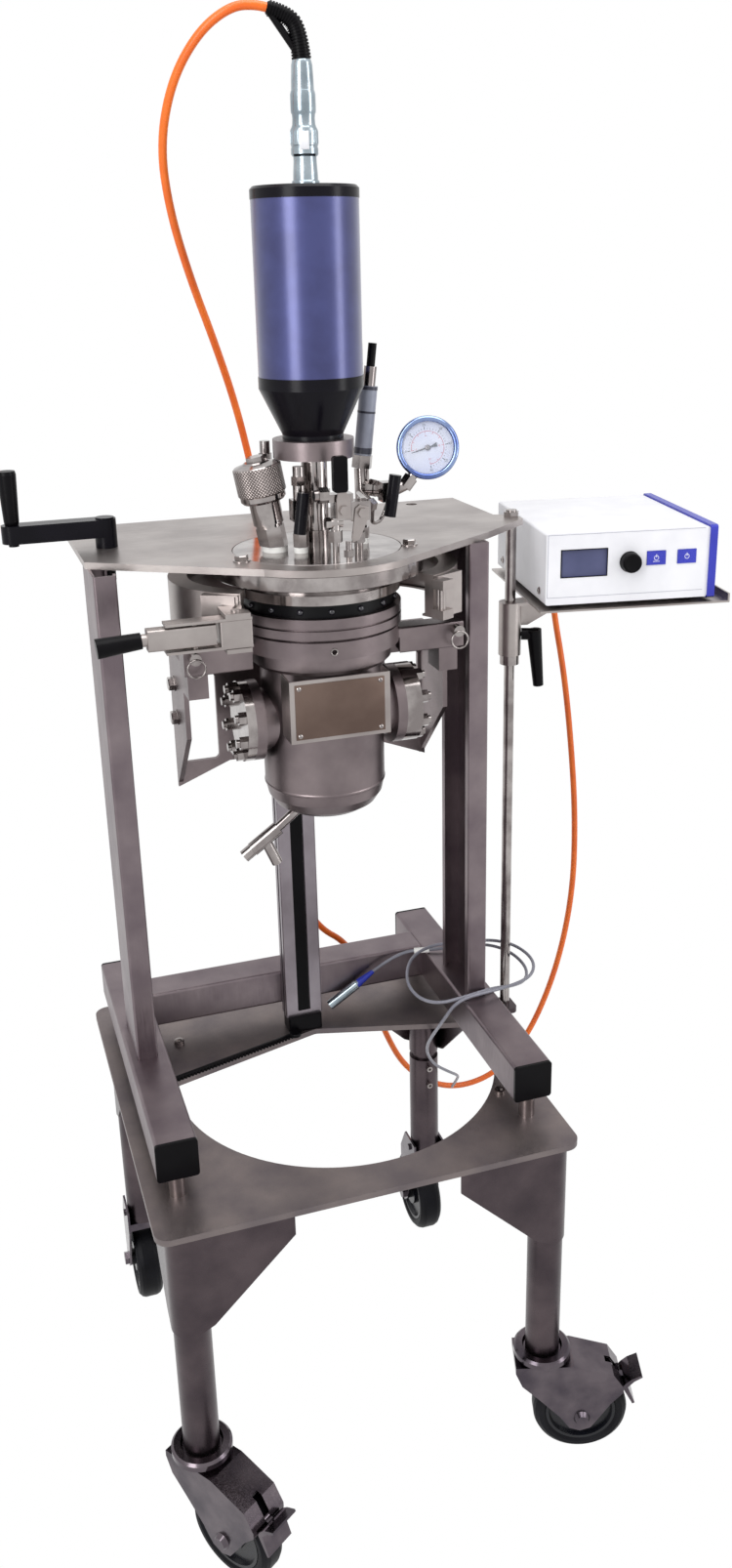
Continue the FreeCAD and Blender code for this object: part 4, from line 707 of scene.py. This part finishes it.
class REACTOR_OT_gauge(bpy.types.Operator):
    """Builds the pressure gauge's dial, scales, hand, bezel and window, and the sensor's sleeves"""
    bl_idname = "reactor.gauge"
    bl_label = "Pressure gauge"

    def execute(self, context):
        dial = lathe("gauge_dial", [
            (2.4, 2.04), (2.4, 2.2), (30.4, 2.2), (31.4, 2.9), (31.9, 2.9), (31.9, 2.04), (2.4, 2.04)], 64)
        settle(dial, GAUGE, "white_enamel_dial", "frame", "polished")
        # The outer scale has a long stroke and a number at every fifth stroke.
        marks = []
        for k in range(31):
            length, width = (3.4, 0.9) if k % 5 == 0 else (1.8, 0.45)
            angle = SCALE_START - SCALE_STEP * k / 5
            marks.append(dial_mark("gauge_black_scale", length, width, 21.0 + length / 2, angle))
        for k in range(7):
            marks.append(dial_number(10 * k, 4.0, 26.4, SCALE_START - SCALE_STEP * k))
        settle(joined(marks), GAUGE, "black_printing_ink", "frame", "black_plastic")
        # The inner scale is an arc of short pieces, with a stroke every 30 degrees and a number every 90.
        inner = [dial_mark("gauge_red_scale", 0.6, 1.8, 19.2, SCALE_START - 5 * k) for k in range(55)]
        for k in range(10):
            angle = SCALE_START - 30 * k
            inner.append(dial_mark("gauge_red_mark", 2.4, 0.6, 17.9, angle))
            if k % 3 == 0:
                inner.append(dial_number(3 * k, 3.0, 13.6, angle))
        settle(joined(inner), GAUGE, "red_printing_ink", "frame", "black_plastic")

        # The hand lies over the solid pointer and widens to a tail behind the hub.
        points = [vertex.co for vertex in NODES["gauge_pointer"].data.vertices]
        tip = GAUGE.inverted() @ max(points, key=lambda co: (co - GAUGE.translation).length)
        lie = Matrix.Rotation(math.atan2(tip.y, tip.x), 4, "Z")
        needle = slab("gauge_hand", (20, 1.8, 0.5), (-10, 0, HAND_HEIGHT), 0)
        for vertex in subdivided(needle, 3):
            vertex.co.y *= 0.35 + 0.65 * (1 + vertex.co.x / mm(20))
        tail = slab("gauge_hand_tail", (10, 5.6, 0.5), (6.5, 0, HAND_HEIGHT), 0)
        for vertex in subdivided(tail, 4):
            share = max(0.0, (vertex.co.x - mm(1.5)) / mm(10))
            vertex.co.y *= 0.25 + 0.75 * share ** 2
        hand = joined([needle, tail])
        for vertex in hand.data.vertices:
            vertex.co.x, vertex.co.y = -vertex.co.x, -vertex.co.y
        settle(hand, GAUGE @ lie, "black_printing_ink", "gauge_pointer", "black_plastic", "gauge_pointer")
        hub = lathe("gauge_hand_hub", [(0, 2.7), (3.4, 2.7), (3.4, 3.7), (2.6, 4.2), (0, 4.3)], 32)
        settle(hub, GAUGE, "chromed_pressed_steel", "gauge_pointer", "polished")

        bezel = lathe("gauge_bezel", [
            (31.8, 3.6), (30.4, 4.6), (30.4, 6.0), (31.2, 7.0), (32.8, 7.7), (34.6, 7.6), (36.2, 6.6),
            (37.0, 4.8), (37.0, 2.6), (36.6, 1.2), (36.1, 0.8), (36.1, 6.1), (31.8, 6.1),
            (31.8, 3.6)], 96, 60)
        settle(bezel, GAUGE, "blue_tinted_chrome", "frame", "polished")
        glass = lathe("gauge_window", [
            (0, 5.9), (16, 5.8), (26, 5.4), (30.9, 4.9), (30.9, 4.5), (0, 5.3)], 64)
        settle(glass, GAUGE, "clear_acrylic_window", "frame", "polished")
        # Three dark bands lie round the sensor's barrel, which leans to the right.
        sensor = facing(at(72, 40, 1300), (0.12, 0, 1), (0, 1, 0))
        for k, (low, high) in enumerate([(2, 9), (49, 51.5), (76, 80)]):
            wall = [(10.3, low), (10.8, low), (10.8, high), (10.3, high), (10.3, low)]
            band = lathe("sensor_sleeve_%d" % k, wall, 48)
            settle(band, sensor, "heat_shrink_sleeve", "frame", "black_plastic")
        plug = lathe("gauge_blow_out_plug", [
            (0, -21.6), (7, -21.4), (8, -20.4), (8, -19.5), (0, -19.5)], 32)
        settle(plug, GAUGE, "moulded_tyre_rubber", "frame", "rubber")
        return {"FINISHED"}


class REACTOR_OT_motor_lead(bpy.types.Operator):
    """Builds the motor's nickel-plated connector and the ribbed sleeve above it"""
    bl_idname = "reactor.motor_lead"
    bl_label = "Motor connector and bend sleeve"

    def execute(self, context):
        profile = [
            (0, 0), (15, 0), (15, 4), (14.4, 5), (13.5, 5.5), (13.3, 12), (12.5, 24), (12.5, 28.6),
            (13.6, 29.4), (14.7, 31), (14.7, 37), (14.2, 37.6), (14.2, 39), (14.7, 39.6), (14.7, 55),
            (13.4, 57.4), (12.4, 60), (12.0, 66), (12.4, 70), (13.2, 71.6), (13.5, 74), (13.5, 89),
            (12.6, 92.6), (12.2, 93), (11.8, 104), (11.2, 117), (10.2, 121.5), (9.2, 123), (0, 123)]
        shell = lathe("nickel_connector", [(radius, CONNECTOR_FOOT + z) for radius, z in profile], 64, 30)
        foot = Matrix.Translation(CONNECTOR_PLACE)
        settle(shell, foot, "nickel_plated_brass", "frame", "polished", "motor_connector")
        grip = slab("connector_grip", (1.0, 1.6, 13), (14.6, 0, CONNECTOR_FOOT + 47.5), 0.4)
        grips = scatter(grip, [foot @ Matrix.Rotation(math.radians(15 * k), 4, "Z") for k in range(24)])
        settle(grips, HERE, "nickel_plated_brass", "frame", "polished")
        pad = slab("connector_flat", (10, 1.6, 18), (0, -14.6, CONNECTOR_FOOT + 44), 0.6)
        aside = foot @ Matrix.Rotation(math.radians(-16), 4, "Z")
        settle(pad, aside, "powder_coated_white_sheet", "frame", "polished")

        # The radius of the sleeve's ribs falls from 10.4 mm at the connector to 7.9 mm at the cable.
        profile = [(4.6, 0)]
        for k in range(SLEEVE_RIBS):
            outer = 10.4 - 2.6 * k / SLEEVE_RIBS
            low = SLEEVE_PITCH * k
            root = outer - 1.3
            profile += [(outer, low), (outer, low + 1.7), (root, low + 2.0), (root, low + 2.9)]
        profile += [(5.4, SLEEVE_END), (4.6, SLEEVE_END), (4.6, 0)]
        sleeve = lathe("ribbed_bend_sleeve", profile, 32, 30)
        bent_along(sleeve, SLEEVE_ROUTE)
        settle(sleeve, HERE, "moulded_black_polyamide", "frame", "black_plastic", "motor_connector")
        return {"FINISHED"}


LID_SCREWS = [at(-100.4, -41.2, 1202.5), at(103.7, -32.5, 1202.5)]
SEAL_SCREWS, SEAL_RADIUS, SEAL_HEIGHT, FIRST_SEAL_SCREW = 16, 91, 1146.5, -97
WELD_PROFILE = [(74.4, 912.5), (75.0, 913.4), (75.2, 914.6), (75.0, 915.8), (74.4, 916.7), (74.0, 914.6),
                (74.4, 912.5)]


class REACTOR_OT_lid_seal(bpy.types.Operator):
    """Adds the screws in the gap under the lid, the vessel's weld bead and bush, and the lid's screws"""
    bl_idname = "reactor.lid_seal"
    bl_label = "Seal screws and weld bead"

    def execute(self, context):
        dome = [(0, 0), (3.6, 0), (3.6, 1.2), (3.0, 2.4), (1.8, 3.2), (0, 3.5)]
        places = []
        for k in range(SEAL_SCREWS):
            angle = math.radians(FIRST_SEAL_SCREW + 360 / SEAL_SCREWS * k)
            out = Vector((math.cos(angle), math.sin(angle), 0))
            places.append(facing(at(SEAL_RADIUS * out.x, SEAL_RADIUS * out.y, SEAL_HEIGHT), out))
        domes = scatter(lathe("seal_screws", dome, 20), places)
        # The domed screws take the painted shade of the gap under the lid.
        settle(domes, HERE, "seal_screw_steel_painted_shade", "frame", "polished")
        bead = lathe("vessel_weld", WELD_PROFILE, 96, 60)
        settle(bead, Matrix.Translation(at(0, 0, 0)), "bead_blasted_stainless", "carriage", "stainless")
        washer = lathe("lid_screws", [(0, 0), (10, 0), (10, 1.2), (9.4, 1.6), (0, 1.6)], 32)
        hexagon = [(0, 1.6), (7.6, 1.6), (8.0, 2.0), (8.0, 6.2), (7.2, 7.0), (0, 7.0)]
        head = lathe("lid_screw_head", hexagon, 6, 20)
        screws = scatter(joined([washer, head]), [Matrix.Translation(place) for place in LID_SCREWS])
        settle(screws, HERE, "turned_stainless", "frame", "polished")
        bush = lathe("probe_hole_bush", [
            (3.0, -6), (3.0, 0.5), (3.6, 0.9), (4.6, 0.9), (5.0, 0.4), (5.0, -6), (3.0, -6)], 32)
        out = Vector((-0.108, -0.994, 0))
        flange = facing(at(out.x * 95, out.y * 95, 1100), out)
        settle(bush, flange, "turned_stainless", "carriage", "polished")
        return {"FINISHED"}


class REACTOR_OT_nameplate(bpy.types.Operator):
    """Adds the bare plate with its four corner screws to the holder"""
    bl_idname = "reactor.nameplate"
    bl_label = "Bare plate"

    def execute(self, context):
        front = facing(at(-5.5, -97, 1033.5), (0, -1, 0))
        plate = slab("bare_plate", (108, 66, 0.8), (-0.5, 0, 0.42), 0.3)
        settle(plate, front, "etched_bare_plate", "carriage", "polished")
        corners = [(x, y) for x in (-49.5, 48.5) for y in (-28.5, 28.5)]
        head = lathe("plate_screw", [
            (0, 0.8), (2.6, 0.8), (2.6, 1.4), (1.9, 2.0), (0.9, 2.2), (0.9, 1.4), (0, 1.4)], 24)
        screws = scatter(head, [front @ Matrix.Translation((mm(x), mm(y), 0)) for x, y in corners])
        settle(screws, HERE, "turned_stainless", "carriage", "polished")
        return {"FINISHED"}


def box_frame(u, v, z, out):
    """A frame on the control box for a point and an outward direction in the box's own frame."""
    return facing(box_front(u, v, z), (*turned(*out, BOX_TURN), 0))


class REACTOR_OT_control_box(bpy.types.Operator):
    """Adds the display frame, knob, key signs, screws, seams and cable entry of the control box"""
    bl_idname = "reactor.control_box"
    bl_label = "Control box details"

    def execute(self, context):
        sides = [slab("display_frame", (62, 1.2, 1.2), (0, 17.6, 0), 0.3),
                 slab("display_frame", (62, 1.2, 1.2), (0, -17.6, 0), 0.3),
                 slab("display_frame", (1.2, 36, 1.2), (-30.4, 0, 0), 0.3),
                 slab("display_frame", (1.2, 36, 1.2), (30.4, 0, 0), 0.3)]
        window = box_frame(50, 0, 1151.25, (0, -1))
        settle(joined(sides), window, "moulded_black_polyamide", "shelf", "black_plastic")
        knob = lathe("control_knob", [
            (0, 0.3), (13.2, 0.3), (13.5, 0.8), (13.5, 2.2), (12.8, 2.8), (12.6, 11.6), (12.0, 13.2),
            (11.0, 13.9), (9.5, 14.0), (8.5, 13.6), (0, 13.2)], 64)
        spindle = box_frame(110, 0, 1150, (0, -1))
        settle(knob, spindle, "moulded_black_polyamide", "knob", "black_plastic", "knob")
        for body, u in (("button_left", 145.5), ("button_right", 186.5)):
            face = box_frame(u, -1, 1153, (0, -1))
            ring = lathe("key_sign", [(2.6, 0), (2.6, 0.1), (3.2, 0.1), (3.2, 0), (2.6, 0)], 32)
            bar = slab("key_sign_bar", (0.7, 4.4, 0.1), (0, 2.6, 0.05), 0)
            parts = [ring, bar]
            if body == "button_left":
                parts.append(slab("key_sign_line", (9, 0.6, 0.1), (0, -4.6, 0.05), 0))
            sign = settle(joined(parts), face, "white_printing_ink", body, "white_plastic")
            sign.name = "sign_on_" + body
        screw = [(0, 0), (5.0, 0), (5.0, 0.8), (4.2, 1.9), (2.4, 2.6), (1.9, 2.6), (1.9, 1.4), (0, 1.4)]
        places = [box_frame(0, v, 1112, (-1, 0)) for v in (28, 219)]
        screws = scatter(lathe("box_screws", screw, 24), places)
        settle(screws, HERE, "turned_stainless", "shelf", "polished")
        seams = [slab("front_panel_seam", (208, 0.7, 0.3), (106, 37.5, 0.1), 0),
                 slab("front_panel_seam", (208, 0.7, 0.3), (106, -43, 0.1), 0),
                 slab("front_panel_seam", (0.7, 80.5, 0.3), (2.2, -2.8, 0.1), 0)]
        front = box_frame(0, 0, 1151, (0, -1))
        settle(joined(seams), front, "shaded_sheet_seam", "shelf", "white_plastic")

        # The cable's boot follows the cable's last run backwards, and its six ribs grow smaller.
        tail, corner, before = (Vector(place) for place in MOTOR_CABLE_ROUTE[:-4:-1])
        profile = [(4.9, 0), (9.4, 0), (9.4, 5)]
        for k in range(6):
            outer = 8.8 - 0.35 * k
            low = 3.6 * k
            profile += [(outer, 6 + low), (outer, 8.2 + low), (outer - 1.2, 8.6 + low)]
        profile += [(5.6, 28), (4.9, 28), (4.9, 0)]
        boot = lathe("cable_entry_boot", profile, 32, 30)
        bent_along(boot, [tail, corner, (corner + before) / 2])
        settle(boot, HERE, "moulded_black_polyamide", "frame", "black_plastic")
        return {"FINISHED"}


TOOTH_PITCH = 5


class REACTOR_OT_trolley_details(bpy.types.Operator):
    """Adds the toothed strip on the trolley plate and the hexagon bolts of the lift carriage"""
    bl_idname = "reactor.trolley_details"
    bl_label = "Toothed strip and carriage bolts"

    def execute(self, context):
        start, end = at(-210.5, 43.3, 490), at(-34.8, 91.9, 490)
        run = end - start
        along = facing(start, (0, 0, 1), Vector((-run.y, run.x, 0)))
        length = run.length * 1000
        strip = [slab("toothed_strip", (length, 7, 3.4), (length / 2, 0, 1.7), 0.6)]
        for k in range(int(length / TOOTH_PITCH)):
            strip.append(slab("strip_tooth", (2.6, 3.2, 3.0), (3 + TOOTH_PITCH * k, -5.0, 1.5), 0.4))
        head = lathe("strip_end", [(0, 0), (8.5, 0), (8.5, 3.4), (7.4, 4.4), (0, 4.6)], 32)
        head.location.x = mm(length + 4)
        settle(joined(strip + [head]), along, "moulded_black_polyamide", "frame", "black_plastic")
        bolt = lathe("carriage_hexagons", [
            (0, 0), (9.8, 0), (9.8, 1.6), (8.6, 1.8), (8.6, 7.8), (7.6, 8.7), (0, 8.7)], 6, 20)
        places = [facing(at(side * 168, y, z), (side, 0, 0))
                  for side in (-1, 1) for y, z in ((70, 1034), (64, 992))]
        settle(scatter(bolt, places), HERE, "turned_stainless", "carriage", "polished")
        return {"FINISHED"}


def seen_directly(holder):
    """1 for rays that show the background itself: to the camera, in a reflection or through glass."""
    path = add_node(holder, "ShaderNodeLightPath")
    mirrored = add_node(holder, "ShaderNodeMath", {"operation": "MAXIMUM"},
                        {0: path.outputs["Is Camera Ray"], 1: path.outputs["Is Glossy Ray"]})
    return add_node(holder, "ShaderNodeMath", {"operation": "MAXIMUM"},
                    {0: mirrored.outputs[0], 1: path.outputs["Is Transmission Ray"]}).outputs[0]


def area_lamp(name, place, width, height, power):
    """A soft lamp that faces the middle of the reactor."""
    lamp = bpy.data.lights.new(name, "AREA")
    lamp.shape = "RECTANGLE"
    lamp.size = width
    lamp.size_y = height
    lamp.energy = power
    holder = bpy.data.objects.new(name, lamp)
    bpy.context.scene.collection.objects.link(holder)
    holder.location = place
    holder.rotation_euler = (at(0, 0, 1000) - place).to_track_quat("-Z", "Y").to_euler()


class REACTOR_OT_stage(bpy.types.Operator):
    """Sets the camera, the world's light, the pale floor and the soft lamps"""
    bl_idname = "reactor.stage"
    bl_label = "Stage"

    def execute(self, context):
        scene = context.scene
        scene.view_settings.view_transform = "Standard"
        yaw, pitch, roll = (math.radians(turn) for turn in (CAMERA_YAW, CAMERA_PITCH, CAMERA_ROLL))
        reach = math.cos(pitch)
        forward = Vector((math.sin(yaw) * reach, math.cos(yaw) * reach, math.sin(pitch)))
        level = forward.cross(Vector((0, 0, 1))).normalized()
        upright = level.cross(forward)
        right = level * math.cos(roll) + upright * math.sin(roll)
        up = upright * math.cos(roll) - level * math.sin(roll)
        lens = bpy.data.cameras.new("photo_camera")
        lens.sensor_fit = "VERTICAL"
        lens.sensor_height = SENSOR_HEIGHT
        lens.lens = SENSOR_HEIGHT * FOCAL_LENGTH / PHOTO_HEIGHT
        lens.shift_x = SHIFT_ACROSS / PHOTO_HEIGHT
        lens.shift_y = SHIFT_UP / PHOTO_HEIGHT
        lens.clip_end = 50
        camera = bpy.data.objects.new("photo_camera", lens)
        scene.collection.objects.link(camera)
        turn = Matrix((right, up, -forward)).transposed().to_4x4()
        camera.matrix_world = Matrix.Translation(CAMERA_PLACE) @ turn
        scene.camera = camera

        world = bpy.data.worlds.new("soft_studio")
        scene.world = world
        world.use_nodes = True
        background = world.node_tree.nodes["Background"]
        strength = add_node(world, "ShaderNodeMapRange", None,
                            {"Value": seen_directly(world), "To Min": WORLD_LEVEL, "To Max": 1.0})
        world.node_tree.links.new(strength.outputs[0], background.inputs["Strength"])
        background.inputs["Color"].default_value = (1, 1, 1, 1)

        bpy.ops.mesh.primitive_plane_add(size=12, location=(0, 0, -0.0005))
        floor = context.object
        floor.name = "pale_floor"
        material, shader = finish_named("pale_floor_paint")
        shader.inputs["Base Color"].default_value = srgb("#f4f4f4")
        shader.inputs["Roughness"].default_value = 0.9
        glow = add_node(material, "ShaderNodeEmission", None, {"Color": (1, 1, 1, 1), "Strength": 1.0})
        blend = add_node(material, "ShaderNodeMixShader", None,
                         {0: seen_directly(material), 1: shader.outputs[0], 2: glow.outputs[0]})
        output = material.node_tree.nodes["Material Output"]
        material.node_tree.links.new(blend.outputs[0], output.inputs[0])
        floor.data.materials.append(material)

        for lamp in LAMPS:
            area_lamp(*lamp)
        return {"FINISHED"}


class REACTOR_PT_panel(bpy.types.Panel):
    """Lists the reactor's pieces in the sidebar"""
    bl_label = "Reactor"
    bl_idname = "REACTOR_PT_panel"
    bl_space_type = "VIEW_3D"
    bl_region_type = "UI"
    bl_category = "Reactor"

    def draw(self, context):
        for group in (context.scene.reactor_sizes, context.scene.reactor_colours):
            for name in type(group).__annotations__:
                self.layout.prop(group, name)
        for operator in OPERATORS:
            self.layout.operator(operator.bl_idname)


OPERATORS = (REACTOR_OT_finishes, REACTOR_OT_stage, REACTOR_OT_cords, REACTOR_OT_gauge,
             REACTOR_OT_motor_lead, REACTOR_OT_lid_seal, REACTOR_OT_nameplate, REACTOR_OT_control_box,
             REACTOR_OT_trolley_details)
CLASSES = (ReactorSizes, ReactorColours, *OPERATORS, REACTOR_PT_panel)


def register():
    for kind in CLASSES:
        bpy.utils.register_class(kind)
    bpy.types.Scene.reactor_sizes = bpy.props.PointerProperty(type=ReactorSizes)
    bpy.types.Scene.reactor_colours = bpy.props.PointerProperty(type=ReactorColours)


def unregister():
    del bpy.types.Scene.reactor_colours
    del bpy.types.Scene.reactor_sizes
    for kind in reversed(CLASSES):
        bpy.utils.unregister_class(kind)


def main():
    register()
    for operator in OPERATORS:
        group_name, call = operator.bl_idname.split(".")
        getattr(getattr(bpy.ops, group_name), call)()


if __name__ == "__main__":
    main()
